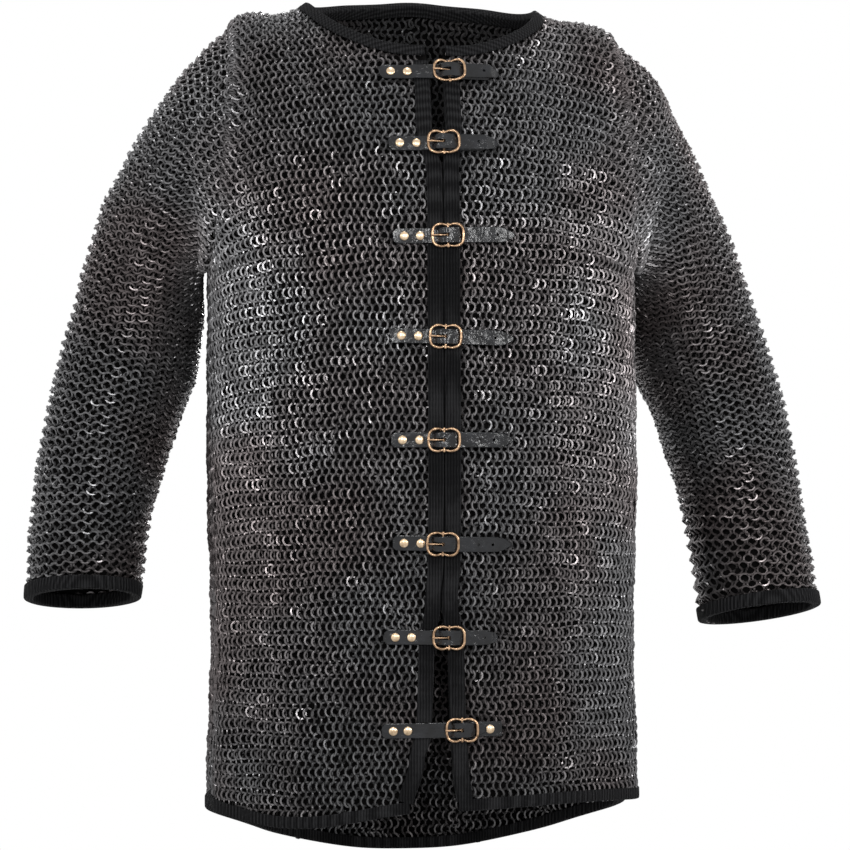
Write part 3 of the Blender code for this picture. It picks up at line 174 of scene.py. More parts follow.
buckle_offset_shares = (1.28, 0.40, 0.67, 0.40, 0.20, 0.10, 0.77, 2.10)
closure_tilts_deg = (-1.0, 0.0, 1.0, -1.5, 0.0, -1.0, -0.5, 1.0)
outer_rivet_shares = (1.30, 0.97, 0.97, 0.98, 0.92, 0.86, 1.19, 1.53)
strap_reach_shares = (0.76, 0.82, 1.0, 1.02, 1.03, 1.02, 0.73, 0.33)
RIM_RISE_SHARE = 0.72
RIM_END_SQUARENESS = 0.58
RIM_SIDE_SQUARENESS = 0.62
RIM_WAIST_SHARE = 0.28
PRONG_REST_SHARE = 0.6
STRAP_POINT_SHARE = 0.25
LAST_HOLE_SHARE = 0.7
SLOT_LENGTH_SHARE = 0.72
SLOT_MIDDLE_SHARE = 0.31
STRAP_SETTLE_SPEED = 1.2
STRAP_FLAT_START_SHARE = 1.25
LIP_SEARCH_SHARE = 0.65
prong_eye_degrees = (215, 250, 285, 320, 355, 390, 420)
prong_eye_end_shares = (0.35, 1.02)
chape_fold_shares = (1.0, 0.8, 0.6, 0.4, 0.2)
chape_loop_degrees = (270, 235, 200, 165, 130, 95)
chape_return_shares = ((0.12, 0.45), (0.20, 0.0), (0.4, 0.0), (0.6, 0.0), (0.8, 0.0), (1.0, 0.0))
strap_climb_shares = ((-0.72, 0.06), (-0.56, 0.32), (-0.34, 0.80), (-0.12, 1.0))
strap_descent_shares = ((0.12, 1.0), (0.40, 0.62), (0.68, 0.14), (0.90, 0.0))
strap_settle_shares = (0.25, 0.5, 0.75, 1.0)

# Heights off the mail's middle, where leather and brass lie over the bindings
BINDING_TOP = MAIL_THICKNESS / 2.0 + EASE + BINDING_CLOTH + LEATHER_CLEARANCE
EYE_CLEARANCE = BAR_RADIUS + GAP
CHAPE_LOOP_RADIUS = EYE_CLEARANCE + CHAPE_THICKNESS / 2.0
BAR_HEIGHT = BINDING_TOP + CHAPE_THICKNESS + EYE_CLEARANCE
CHAPE_TOP = BINDING_TOP + 2.0 * CHAPE_THICKNESS + GAP
STRAP_CREST = BAR_HEIGHT + EYE_CLEARANCE + CHAPE_THICKNESS + EASE
LEFT_RIM_HEIGHT = BINDING_TOP + STRAP_THICKNESS + EASE + RIM_LIFT + RIM_RADIUS
RIGHT_RIM_HEIGHT = CHAPE_TOP + EASE + STRAP_THICKNESS + EASE + RIM_LIFT + RIM_RADIUS
RIM_RISE = (LEFT_RIM_HEIGHT + RIGHT_RIM_HEIGHT) / 2.0 - BAR_HEIGHT
FRAME_LEAN = math.atan((RIGHT_RIM_HEIGHT - LEFT_RIM_HEIGHT) / 2.0 / BUCKLE_HALF_LENGTH)

# Rings of the mail
RING_RADIUS = 0.0052
RING_HALF_WIDTH = 0.00086
RING_HALF_THICKNESS = 0.0007
RING_STEPS = 12
SECTION_STEPS = 4
RING_LEAN = math.radians(36.0)
RING_PITCH = 0.0074
SLEEVE_RING_PITCH = 0.0106
sleeve_start_shares = (0.3, 0.8)
ROW_PITCH = 0.00745
ROWS_OF_DROOP = 4
DROOP_SPARE = 1.2
SPARE_SLEEVE_ROWS = 12
MOST_YOKE_ROWS = 80
CUFF_ROW_SHARE = 0.86
ROW_OVERRUN_SHARE = 0.1
RING_EDGE_CLEARANCE = 0.0062
RING_SIDE_CLEARANCE = 0.0056
RING_SHIFT = 0.0007
RING_TURN = math.radians(10.0)
RING_SHARP_DEG = 50.0
RINGS_IN_PIECE = 2000
RANDOM_SEED = 7
NEAREST_BLOCK = 1000
MAP_FILL_SHARE = 0.92
MAP_MARGIN_SHARE = 0.04
# Dark sheets of painted shade fill the rings' holes: how far they stand behind the mail's middle, the back's
# a little outward of it
PAINTED_SHADE_SETBACK = 0.0022
BACK_SETBACK = -0.0008

# Slow wander of the rows: its height, its length, and the rates and weights of its waves
DRIFT = 0.0011
DRIFT_LENGTH = 0.11
WANDER_WARP = 1.7
wander_rates = (0.9, 2.3, 1.3)
wander_weights = (0.6, 0.5)

# Samples along the surfaces
ROUND_SAMPLES = 321
HALF_ROUND_SAMPLES = 121
EDGE_SAMPLES = 260
NECK_SAMPLES = 70
SECTION_SAMPLES = 90
SLEEVE_SAMPLES = 70
CUFF_SAMPLES = 240
DROOP_SAMPLES = 12
# Samples of the dark sheets of painted shade behind the rings
PAINTED_SHADE_EDGE_STRIDE = 8
FRONT_PAINTED_SHADE_STEPS = 40
BACK_PAINTED_SHADE_STEPS = 34
SKIRT_PAINTED_SHADE_ROWS = 60
SKIRT_PAINTED_SHADE_END = 0.02
YOKE_PAINTED_SHADE_ROWS = 36
SLEEVE_PAINTED_SHADE_ROWS = 60
SLEEVE_PAINTED_SHADE_STEPS = 64
sleeve_painted_shade_ends = (0.0005, 0.998)
across_yoke = np.concatenate((np.linspace(-0.12, 0.0, 9)[:-1], np.linspace(0.0, 1.0, 81)))
across_middle = np.linspace(-0.16, 0.02, 24)

# The tape's section in shares of its width and mm off the mail's middle: the outer side's upper
# half, from the lip round the edge, then the inner side
tape_outer_mm = ((1.0, 4.05), (1.0, 4.9), (0.94, 5.35), (0.7, 5.45), (0.3, 5.5), (0.02, 5.35),
                 (-0.07, 4.6), (-0.115, 3.0), (-0.125, 0.0))
tape_inner_mm = ((0.3, -4.0), (-0.02, -3.2), (-0.03, 0.0), (-0.02, 3.2), (0.3, 4.0))
TAPE_SHARP_DEG = 50.0
taped_edge = slice(4, None, 3)
HEM_STATIONS = 150
CUFF_STATIONS = 120
EASED_REACH = 9
EASING_PASSES = 40

# Dressing of the leather and brass
LEATHER_ROUND = 0.0005
LEATHER_SHARP_DEG = 40.0
CHAPE_SKIVE = 0.0002
STRAP_STEPS = 110
CHAPE_STEPS = 100
path_kernel = np.array((1.0, 2.0, 3.0, 2.0, 1.0)) / 9.0
KNOB_RADIUS = 0.0016
RIM_SAMPLES = 400
RIM_STEPS = 96
PRONG_STEPS = 60
prong_kernel = np.ones(5) / 5.0
WIRE_ROUND_STEPS = 4
PRONG_ROUND_STEPS = 3
PLUG_SIDES = 20
RIVET_SIDES = 28
RIVET_SHARP_DEG = 45.0
RIVET_WELD = 0.00001
DOME_END_SHARE = 0.93
DOME_STEPS = 9
burr_chamfer_shares = (0.9, 0.6)


def smoothstep(value):
    value = min(max(value, 0.0), 1.0)
    return value * value * (3.0 - 2.0 * value)


def ease_between(stations, values, place):
    """Values joined by smooth steps between rising stations."""
    for index in range(len(stations) - 1):
        if place <= stations[index + 1]:
            share = (place - stations[index]) / (stations[index + 1] - stations[index])
            return values[index] + (values[index + 1] - values[index]) * smoothstep(share)
    return values[-1]


def spline(values, share):
    """Catmull-Rom curve through evenly spaced values, share from 0 to 1."""
    last = len(values) - 1
    place = min(max(share, 0.0), 1.0) * last
    index = min(int(place), last - 1)
    t = place - index
    p1 = values[index]
    p2 = values[index + 1]
    p0 = values[index - 1] if index > 0 else 2.0 * p1 - p2
    p3 = values[index + 2] if index + 2 <= last else 2.0 * p2 - p1
    linear = (p2 - p0) * t
    square = (2.0 * p0 - 5.0 * p1 + 4.0 * p2 - p3) * t * t
    cube = (3.0 * p1 - p0 - 3.0 * p2 + p3) * t * t * t
    return p1 + 0.5 * (linear + square + cube)


def running_total(steps):
    return np.concatenate(([0.0], np.cumsum(steps)))


def as_array(points):
    return np.array([tuple(point) for point in points])


def lengths_along(points):
    return running_total(np.linalg.norm(np.diff(points, axis=0), axis=1))


def values_at(at, lengths, values):
    """Rows of values read off at distances along a line."""
    return np.stack([np.interp(at, lengths, values[:, axis]) for axis in range(3)], axis=-1)


def unit(vectors):
    return vectors / np.linalg.norm(vectors, axis=-1, keepdims=True)


def square_to(vectors, directions):
    """The vectors less their share along the directions."""
    return vectors - directions * np.sum(vectors * directions, axis=1, keepdims=True)


def quarter_tables():
    """Arc length against angle along a quarter of the torso's oval."""
    angles = np.linspace(0.0, QUARTER_TURN, OVAL_SAMPLES)
    across = CHEST_HALF_WIDTH * np.sin(angles) ** OVAL_POWER
    deep = front_depths[0] * np.abs(np.cos(angles)) ** OVAL_POWER
    lengths = running_total(np.hypot(np.diff(across), np.diff(deep)))
    return angles, lengths / lengths[-1]


ANGLES, ARC_SHARES = quarter_tables()


def torso_point(side, around, z):
    """Middle of the mail below the armpits; around is 0 in front, 1 at the side, 2 behind."""
    if around < 0.0:
        side, around = -side, -around
    if around > 2.0:
        side, around = -side, 4.0 - around
    in_front = around <= 1.0
    angle = float(np.interp(around if in_front else 2.0 - around, ARC_SHARES, ANGLES))
    drop = max(-z, ARMPIT_DROP)
    half_width = ease_between(torso_drops, half_widths, drop)
    depth = ease_between(torso_drops, front_depths if in_front else back_depths, drop)
    fold = fold_offset(around, z)
    x = half_width * math.sin(angle) ** OVAL_POWER + fold * math.sin(angle)
    y = depth * abs(math.cos(angle)) ** OVAL_POWER + fold * math.cos(angle)
    return Vector((side * x, -y if in_front else y, z))


def fold_offset(around, z):
    """Soft upright folds that grow towards the hem and leave the closures flat."""
    growth = smoothstep((-z - ARMPIT_DROP) / SKIRT_LENGTH)
    clear_of_front = smoothstep((around - NECK_SHARE) / NECK_SHARE)
    return FOLD_HEIGHT * growth * clear_of_front * math.cos(math.pi * FOLDS_EACH_SIDE * around)


def ridge_point(side, out):
    """Top of the shoulder from the nape, out = 0, to the armhole, out = 1."""
    base = torso_point(side, out, -ARMPIT_DROP)
    low = -shoulder_drops[side]
    height = low + (NAPE_HEIGHT - low) * spline(ridge_height_shares, out)
    setback = NAPE_SETBACK * spline(ridge_setback_shares, out)
    return Vector((base.x * SHOULDER_HALF_WIDTH / CHEST_HALF_WIDTH, setback, height))


def yoke_point(side, out, over):
    """Middle of the mail above the armpits; over is 0 in front, 1 on the ridge, 2 behind."""
    if out < 0.0:
        side, out = -side, -out
    angle = over * QUARTER_TURN
    base = torso_point(side, out if over <= 1.0 else 2.0 - out, -ARMPIT_DROP)
    ridge = ridge_point(side, out)
    rise = math.sin(angle) ** 2
    hold = abs(math.cos(angle)) * math.sqrt(1.0 + rise)
    full_depth = front_depths[0] if over <= 1.0 else back_depths[0]
    flatness = min(abs(base.y) / full_depth, 1.0)
    bulge = SLEEVE_HALF_DEPTH * (1.0 - flatness) ** YOKE_ROUNDNESS * math.sin(2.0 * angle)
    x = base.x + (ridge.x - base.x) * rise
    y = ridge.y + (base.y - ridge.y) * hold - bulge
    z = base.z + (ridge.z - base.z) * rise
    return Vector((x, y, z))


def sleeve_point(side, along, over):
    """Middle of the sleeve's mail; along runs from the armhole, 0, to the cuff, 1."""
    angle = over % 2.0 * QUARTER_TURN
    reach, drop = sleeve_reaches[side], sleeve_drops[side]
    clear = CHEST_HALF_WIDTH + UNDERARM_STEP
    outer_x, outer_z = [SHOULDER_HALF_WIDTH], [-shoulder_drops[side]]
    for out, down in outer_line_shares[side]:
        outer_x.append(SHOULDER_HALF_WIDTH + (reach - SHOULDER_HALF_WIDTH) * out)
        outer_z.append(-drop * down)
    inner_x, inner_z = [CHEST_HALF_WIDTH], [-ARMPIT_DROP]
    for out, down in inner_line_shares[side]:
        inner_x.append(clear + (reach - clear) * out)
        inner_z.append(-drop * down)
    setback = SLEEVE_SETBACK * spline(sleeve_setback_shares, along)
    half_depth = SLEEVE_HALF_DEPTH * spline(sleeve_depth_shares, along)
    outer = Vector((side * spline(outer_x, along), setback, spline(outer_z, along)))
    inner = Vector((side * spline(inner_x, along), setback, spline(inner_z, along)))
    rise = math.sin(angle) ** 2
    place = inner + (outer - inner) * rise
    place.y -= half_depth * math.sin(2.0 * angle)
    place.z += CUFF_TILT * math.sin(2.0 * angle) * along ** 3
    step = side * UNDERARM_STEP * (1.0 - rise) ** UNDERARM_POWER
    place.x += step * smoothstep(1.0 - along * UNDERARM_FADE)
    return place


def garment_point(side, out, height):
    """The front and back sheets as one: height is -1 at the hem, 0 at the armpit,
    1 on the ridge and back down to 3 at the rear hem; out runs on into the sleeve past 1."""
    if 0.0 <= height <= 2.0:
        return sleeve_point(side, out - 1.0, height) if out > 1.0 else yoke_point(side, out, height)
    if out > 1.0:
        out = 2.0 - out
        height = 2.0 - height
    around = out if height < 0.0 else 2.0 - out
    down = -height if height < 0.0 else height - 2.0
    return skirt_point(side, around, down)


def skirt_point(side, around, down):
    """A place at a share of the way from the armpit's height to the hem."""
    return torso_point(side, around, hem_level(side, around, down))


def hem_drop(side, around):
    """Drop of the hem around the body."""
    if around <= 1.0:
        return SIDE_HEM_DROP + hem_dips[side] * math.sin(math.pi * abs(around)) ** 2
    return SIDE_HEM_DROP + BACK_HEM_DIP * math.sin(QUARTER_TURN * (around - 1.0)) ** HEM_ROUNDNESS


def hem_level(side, around, down):
    return -ARMPIT_DROP - (hem_drop(side, around) - ARMPIT_DROP) * down


def surface_normal(point_at, u, v, turn):
    """Unit normal of a surface by central differences, outward where turn fits its u and v."""
    along_u = point_at(u + PROBE, v) - point_at(u - PROBE, v)
    along_v = point_at(u, v + PROBE) - point_at(u, v - PROBE)
    return (along_u.cross(along_v) * turn).normalized()


def edge_share(side, z):
    """Share of the quarter at which a front sheet's bound edge stands."""
    steps = ease_between(opening_drop_shares, edge_step_shares[side], -z / SIDE_HEM_DROP)
    return share_at(FRONT_EDGE_STEP * side * steps + BOUND_INSET)


def share_at(distance):
    """Share of the torso's quarter at a distance across from the middle."""
    sign = -1.0 if distance < 0.0 else 1.0
    angle = math.asin(min(abs(distance) / CHEST_HALF_WIDTH, 1.0) ** (1.0 / OVAL_POWER))
    return sign * float(np.interp(angle, ANGLES, ARC_SHARES))


def neck_fall(out):
    """1 at the middle of the neck, 0 at its corner and beyond."""
    across = min(abs(out) / NECK_SHARE, 1.0)
    return (1.0 - across ** NECK_SQUARENESS) ** (1.0 / NECK_SQUARENESS)


def neckline_height(out):
    """Height share of the front neckline above the armpit."""
    low = (ARMPIT_DROP - NECK_FRONT_DROP) / (ARMPIT_DROP + NAPE_HEIGHT)
    middle = math.asin(math.sqrt(low)) / QUARTER_TURN
    return 1.0 - (1.0 - middle) * neck_fall(out)


def nape_height(out):
    """Height share of the rear neckline, past the ridge."""
    return 1.0 + NAPE_TURN_SHARE * neck_fall(out)


def front_surface(x, z):
    """Middle of the front sheet at a place across and a height near the opening."""
    side = LEFT if x >= 0.0 else RIGHT
    distance = abs(x)
    if z <= -ARMPIT_DROP:
        half_width = ease_between(torso_drops, half_widths, -z)
        return torso_point(side, share_at(distance * CHEST_HALF_WIDTH / half_width), z)
    out = share_at(distance)
    for _ in range(SETTLING_ROUNDS):
        rise = (z + ARMPIT_DROP) / (ridge_point(side, out).z + ARMPIT_DROP)
        out = share_at(distance / (1.0 - SHOULDER_NARROWING_SHARE * rise))
    return yoke_point(side, out, math.asin(math.sqrt(min(max(rise, 0.0), 1.0))) / QUARTER_TURN)


def front_frame(x, z, tilt):
    """Frame on the front: X along a strap, Y up the body, Z outwards."""
    across = front_surface(x + PROBE, z) - front_surface(x - PROBE, z)
    up = front_surface(x, z + PROBE) - front_surface(x, z - PROBE)
    outward = across.cross(up).normalized()
    along = across.normalized()
    upward = outward.cross(along).normalized()
    basis = Matrix((along, upward, outward)).transposed().to_4x4()
    return Matrix.Translation(front_surface(x, z)) @ basis @ Matrix.Rotation(tilt, 4, "Z")


class Closure:
    """Places of one strap, buckle and chape on the front."""

    def __init__(self, index):
        self.name = str(index + 1)
        self.z = -closure_drop_shares[index] * SIDE_HEM_DROP
        self.x = FRONT_EDGE_STEP * buckle_offset_shares[index]
        self.tilt = math.radians(closure_tilts_deg[index])
        self.rivet = -(OUTER_RIVET_REACH * outer_rivet_shares[index])
        self.tip = STRAP_REACH * strap_reach_shares[index]
        self.frame = front_frame(self.x, self.z, self.tilt)
        self.near = min(self.lip_places(RIGHT)) - LEATHER_CLEARANCE
        self.far = max(self.lip_places(LEFT)) + LEATHER_CLEARANCE
        head_clear = self.near - BINDING_RISE_LENGTH - RIVET_HEAD_RADIUS - EASE
        self.inner_rivet = min(self.rivet + RIVET_SPACING, head_clear)

    def lip_places(self, side):
        """Where the inner edge of a front binding stands along the strap's width."""
        levels = self.z + STRAP_WIDTH * np.linspace(-LIP_SEARCH_SHARE, LIP_SEARCH_SHARE, 5)
        return [lip_across(side, float(level)) - self.x for level in levels]

    def on_body(self, along, up, height):
        """World point at a distance along the strap, up the body and off the mail's middle."""
        return self.frame_at(along, up) @ Vector((0.0, 0.0, height))

    def frame_at(self, along, up=0.0):
        level = self.frame @ Vector((along, up, 0.0))
        return front_frame(level.x, level.z, self.tilt)

    def seat(self, along):
        """Height on which leather rests: the mail, or the bindings beside the opening."""
        low = MAIL_THICKNESS / 2.0 + EASE
        rise = smoothstep((along - self.near) / BINDING_RISE_LENGTH + 1.0)
        fall = smoothstep((self.far - along) / BINDING_RISE_LENGTH + 1.0)
        return low + (BINDING_TOP - low) * min(rise, fall)


def lip_across(side, z):
    """Distance across, with its sign, of a front binding's inner edge at a height."""
    out = edge_share(side, z) + share_at(FRONT_BINDING_WIDTH)
    base = torso_point(side, out, min(z, -ARMPIT_DROP))
    if z <= -ARMPIT_DROP:
        return base.x
    rise = (z + ARMPIT_DROP) / (ridge_point(side, out).z + ARMPIT_DROP)
    return base.x * (1.0 - SHOULDER_NARROWING_SHARE * rise)


def strap_profile(closure):
    """Middle line of the strap: under the left rim, over the bar, under the right rim."""
    half = STRAP_THICKNESS / 2.0
    start = closure.rivet - STRAP_START_OVERHANG
    near_rim = -BUCKLE_HALF_LENGTH - RIM_RADIUS
    inner = closure.inner_rivet
    ramp_end = closure.near
    places = [start, start + STRAP_END_ROUND, closure.rivet, inner - RIVET_SPACING / 2.0, inner,
              ramp_end - BINDING_RISE_LENGTH, ramp_end]
    if ramp_end < near_rim - BINDING_RISE_LENGTH:
        places.append((ramp_end + near_rim) / 2.0)
    if ramp_end < near_rim:
        places.append(near_rim)
    path = [(place, closure.seat(place) + half) for place in places]
    low = BINDING_TOP + half
    crest = STRAP_CREST + half
    over_chape = CHAPE_TOP + EASE + half
    for base, shares in ((low, strap_climb_shares), (over_chape, strap_descent_shares)):
        path += [(BUCKLE_HALF_LENGTH * share, base + (crest - base) * rise) for share, rise in shares]
    chape_end = CHAPE_LENGTH + EASE
    stop = min(closure.tip, chape_end)
    for place in np.linspace(BUCKLE_HALF_LENGTH * STRAP_FLAT_START_SHARE, stop, 4):
        path.append((float(place), over_chape))
    if closure.tip > chape_end:
        for share in strap_settle_shares:
            place = chape_end + (closure.tip - chape_end) * share
            rest = closure.seat(place) + half
            settled = smoothstep(share * STRAP_SETTLE_SPEED)
            path.append((place, over_chape + (rest - over_chape) * settled))
    return path


def strap_widths(closure, path):
    """Full width with a pointed tip and slightly rounded start."""
    widths = []
    for place, _ in path:
        point = math.sqrt(min(max((closure.tip - place) / STRAP_POINT_LENGTH, 0.0), 1.0))
        widths.append(STRAP_WIDTH * (STRAP_POINT_SHARE + (1.0 - STRAP_POINT_SHARE) * point))
    widths[0] = STRAP_WIDTH - 2.0 * STRAP_END_ROUND
    return widths


def chape_profile():
    """Middle line of the folded chape: out to the bar, round it and back on top."""
    low = BINDING_TOP + CHAPE_THICKNESS / 2.0
    upper = low + CHAPE_THICKNESS + GAP
    path = [(CHAPE_LENGTH * share, low) for share in chape_fold_shares]
    for degrees in chape_loop_degrees:
        angle = math.radians(degrees)
        path.append((CHAPE_LOOP_RADIUS * math.cos(angle), BAR_HEIGHT + CHAPE_LOOP_RADIUS * math.sin(angle)))
    crest = path[-1][1]
    for share, rise in chape_return_shares:
        path.append((CHAPE_LENGTH * share, upper + (crest - upper) * rise))
    return path


def prong_points():
    """Wire of the prong: round the bar, then straight to rest on the left rim."""
    eye = EYE_CLEARANCE + PRONG_RADIUS
    points = []
    for degrees in prong_eye_degrees:
        angle = math.radians(degrees)
        points.append((eye * math.cos(angle), 0.0, eye * math.sin(angle)))
    rest = LEFT_RIM_HEIGHT - BAR_HEIGHT + RIM_RADIUS + EASE + PRONG_RADIUS
    back, above = prong_eye_end_shares
    points.append((-eye * back, 0.0, eye * above))
    points.append((-BUCKLE_HALF_LENGTH * PRONG_REST_SHARE, 0.0, rest))
    points.append((-BUCKLE_HALF_LENGTH - PRONG_OVERHANG, 0.0, rest))
    return points


def rim_points(count):
    """Outline of the double-loop frame: two round ends drawn in at the waist, bowed up."""
    points = []
    for k in range(count):
        angle = math.tau * k / count
        across, up = math.cos(angle), math.sin(angle)
        x = BUCKLE_HALF_LENGTH * math.copysign(abs(across) ** RIM_END_SQUARENESS, across)
        notch = math.exp(-((x / (BUCKLE_HALF_LENGTH * RIM_WAIST_SHARE)) ** 2))
        full = BUCKLE_HALF_HEIGHT * math.copysign(abs(up) ** RIM_SIDE_SQUARENESS, up)
        y = full * (1.0 - notch * (1.0 - BUCKLE_WAIST_HEIGHT / BUCKLE_HALF_HEIGHT))
        z = RIM_RISE * smoothstep(abs(x) / (BUCKLE_HALF_LENGTH * RIM_RISE_SHARE))
        points.append((x, y, z))
    return points


random_numbers = np.random.default_rng(RANDOM_SEED)
collection = bpy.data.collections.new("jacket_looks")
bpy.context.scene.collection.children.link(collection)


def feed(tree, node, sockets):
    """Sets a node's sockets to constants, or links them to other nodes' outputs."""
    for key, value in sockets.items():
        if isinstance(value, bpy.types.NodeSocket):
            tree.links.new(value, node.inputs[key])
        else:
            node.inputs[key].default_value = value


def add_node(tree, kind, sockets, **settings):
    node = tree.nodes.new("ShaderNode" + kind)
    for key, value in settings.items():
        setattr(node, key, value)
    feed(tree, node, sockets)
    return node


def node_material(name):
    material = bpy.data.materials.new(name)
    material.use_nodes = True
    return material, material.node_tree, material.node_tree.nodes["Principled BSDF"]


def place_of(tree):
    return add_node(tree, "TexCoord", {}).outputs["Object"]


def noise(tree, scale, detail, roughness=0.5):
    sockets = {"Vector": place_of(tree), "Scale": scale, "Detail": detail, "Roughness": roughness}
    return add_node(tree, "TexNoise", sockets).outputs["Fac"]


def toned(tree, source, low, high, first, last):
    """Two colours, the first up to low and the last from high."""
    ramp = add_node(tree, "ValToRGB", {"Fac": source})
    for stop, place, color in zip(ramp.color_ramp.elements, (low, high), (first, last)):
        stop.position = place
        stop.color = (*color, 1.0)
    return ramp.outputs["Color"]


def spread(tree, source, low, high, start=0.0, stop=1.0):
    """The source's values from start to stop, spread from low to high."""
    sockets = {"Value": source, "From Min": start, "From Max": stop, "To Min": low, "To Max": high}
    return add_node(tree, "MapRange", sockets).outputs["Result"]


def math_node(tree, operation, *sources, **settings):
    node = add_node(tree, "Math", dict(enumerate(sources)), operation=operation, **settings)
    return node.outputs["Value"]


def bump(tree, height, distance, strength):
    sockets = {"Height": height, "Distance": distance, "Strength": strength}
    return add_node(tree, "Bump", sockets).outputs["Normal"]


def mail_material():
    """Blackened steel with wear-brightened crests and a brown cast in places, darker towards the hem."""
    material, tree, shader = node_material("blackened_steel_mail")
    steel, browned = (0.150, 0.149, 0.153), (0.138, 0.121, 0.121)
    tone = toned(tree, noise(tree, 6.0, 2.0), 0.42, 0.62, steel, browned)
    wear = noise(tree, 150.0, 3.0, 0.7)
    height = add_node(tree, "SeparateXYZ", {"Vector": place_of(tree)}).outputs["Z"]
    # Base colour darkened towards the bottom, from z -0.52 down to z -0.80
    darker_to_hem = spread(tree, height, 0.66, 1.0, start=-0.80, stop=-0.52)
    bright = math_node(tree, "MULTIPLY", spread(tree, wear, -0.5, 2.5), darker_to_hem)
    color = add_node(tree, "VectorMath", {0: tone, "Scale": bright}, operation="SCALE")
    feed(tree, shader, {"Base Color": color.outputs["Vector"], "Roughness": spread(tree, wear, 0.52, 0.10),
                        "Metallic": 0.75})
    return material


def painted_shade_material():
    """Painted shade: the dark between the rings, on a sheet that stands behind them."""
    material, tree, shader = node_material("mail_painted_shade")
    shade_mottle = noise(tree, 130.0, 3.0)
    # Near-black painted shade, a little mottled
    tone = toned(tree, shade_mottle, 0.3, 0.7, (0.001, 0.001, 0.001), (0.005, 0.0045, 0.0045))
    feed(tree, shader, {"Base Color": tone, "Roughness": 0.9, "Specular IOR Level": 0.04,
                        "Normal": bump(tree, shade_mottle, 0.001, 0.6)})
    return material


def cloth_material():
    """Black tape with 2 mm ribs crossed by fine threads, lighter on the ribs' crests as a painted highlight
    and darker in the grooves as painted shade.
    """
    material, tree, shader = node_material("black_cloth_binding")
    place = place_of(tree)
    waves = []
    for direction, scale in (("Z", 260.0), ("X", 105.0), ("Y", 105.0)):
        sockets = {"Vector": place, "Scale": scale, "Distortion": 1.2, "Detail": 1.0}
        wave = add_node(tree, "TexWave", sockets, wave_type="BANDS", bands_direction=direction)
        waves.append(wave.outputs["Fac"])
    height = math_node(tree, "ADD", math_node(tree, "ADD", waves[0], waves[1]), waves[2])
    # Painted highlight on the ribs' crests and painted shade in the grooves between them
    rib_light_and_shade = spread(tree, height, 0.0, 1.0, stop=3.0)
    tone = toned(tree, rib_light_and_shade, 0.35, 0.85, (0.003, 0.003, 0.0035), (0.036, 0.036, 0.038))
    feed(tree, shader, {"Base Color": tone, "Roughness": 0.9, "Specular IOR Level": 0.1,
                        "Normal": bump(tree, height, 0.0009, 0.9)})
    return material


def leather_material():
    """Black leather with a fine grain and creases, polished in places."""
    material, tree, shader = node_material("black_leather")
    grain = add_node(tree, "TexVoronoi", {"Vector": place_of(tree), "Scale": 900.0}).outputs["Distance"]
    creases = noise(tree, 75.0, 3.0)
    tone = toned(tree, creases, 0.3, 0.72, (0.001, 0.001, 0.0015), (0.009, 0.010, 0.013))
    grain_weight = 0.05
    height = math_node(tree, "MULTIPLY_ADD", grain, grain_weight, creases)
    feed(tree, shader, {"Base Color": tone, "Roughness": spread(tree, creases, 0.06, 0.30),
                        "Specular IOR Level": 0.42, "Normal": bump(tree, height, 0.0022, 0.8)})
    return material


def brass_material(name, light, dark, smooth, rough):
    """Brass, duller and darker where it is tarnished."""
    material, tree, shader = node_material(name)
    tarnish = noise(tree, 210.0, 4.0, 0.6)
    feed(tree, shader, {"Base Color": toned(tree, tarnish, 0.32, 0.62, dark, light),
                        "Roughness": spread(tree, tarnish, rough, smooth),
                        "Normal": bump(tree, tarnish, 0.0002, 0.4), "Metallic": 1.0})
    return material


materials = {
    "mail": mail_material(),
    # painted shade on the dark sheets behind the rings
    "painted_shade": painted_shade_material(),
    "cloth": cloth_material(),
    "leather": leather_material(),
    "buckle": brass_material("antique_brass", (0.56, 0.37, 0.23), (0.15, 0.092, 0.055), 0.16, 0.40),
    "rivet": brass_material("pale_brass", (0.80, 0.63, 0.44), (0.44, 0.31, 0.19), 0.18, 0.38),
}


def place_piece(name, mesh, kind, node=None, body="jacket", sharp_degrees=None):
    """Puts a smooth mesh on its body with its material and, if it has a CAD node, in that node's place,
    hiding the node.
    """
    mesh.shade_smooth()
    if sharp_degrees:
        mesh.set_sharp_from_angle(angle=math.radians(sharp_degrees))
    item = bpy.data.objects.new(name, mesh)
    collection.objects.link(item)
    mesh.materials.append(materials[kind])
    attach(item, body)
    if node:
        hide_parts(node)
    return item


def grid_mesh(name, rows, round_row=True, round_run=False, capped=False):
    """Faces between neighbouring rows of points; a row or the run of rows may close on itself."""
    size, count = len(rows[0]), len(rows)
    faces = []
    for k in range(count if round_run else count - 1):
        here, there = size * k, size * ((k + 1) % count)
        for m in range(size if round_row else size - 1):
            n = (m + 1) % size
            faces.append((here + m, here + n, there + n, there + m))
    if capped:
        faces += [tuple(range(size)), tuple(size * (count - 1) + m for m in reversed(range(size)))]
    mesh = bpy.data.meshes.new(name)
    mesh.from_pydata([tuple(point) for row in rows for point in row], [], faces)
    return mesh


def turned_out(mesh, weld=0.0, placing=None):
    """The closed mesh with its faces turned outward; it may have near points joined, and be placed."""
    shape = bmesh.new()
    shape.from_mesh(mesh)
    if weld:
        bmesh.ops.remove_doubles(shape, verts=shape.verts, dist=weld)
    bmesh.ops.recalc_face_normals(shape, faces=shape.faces)
    if placing:
        shape.transform(placing)
    shape.to_mesh(mesh)
    shape.free()
    return mesh


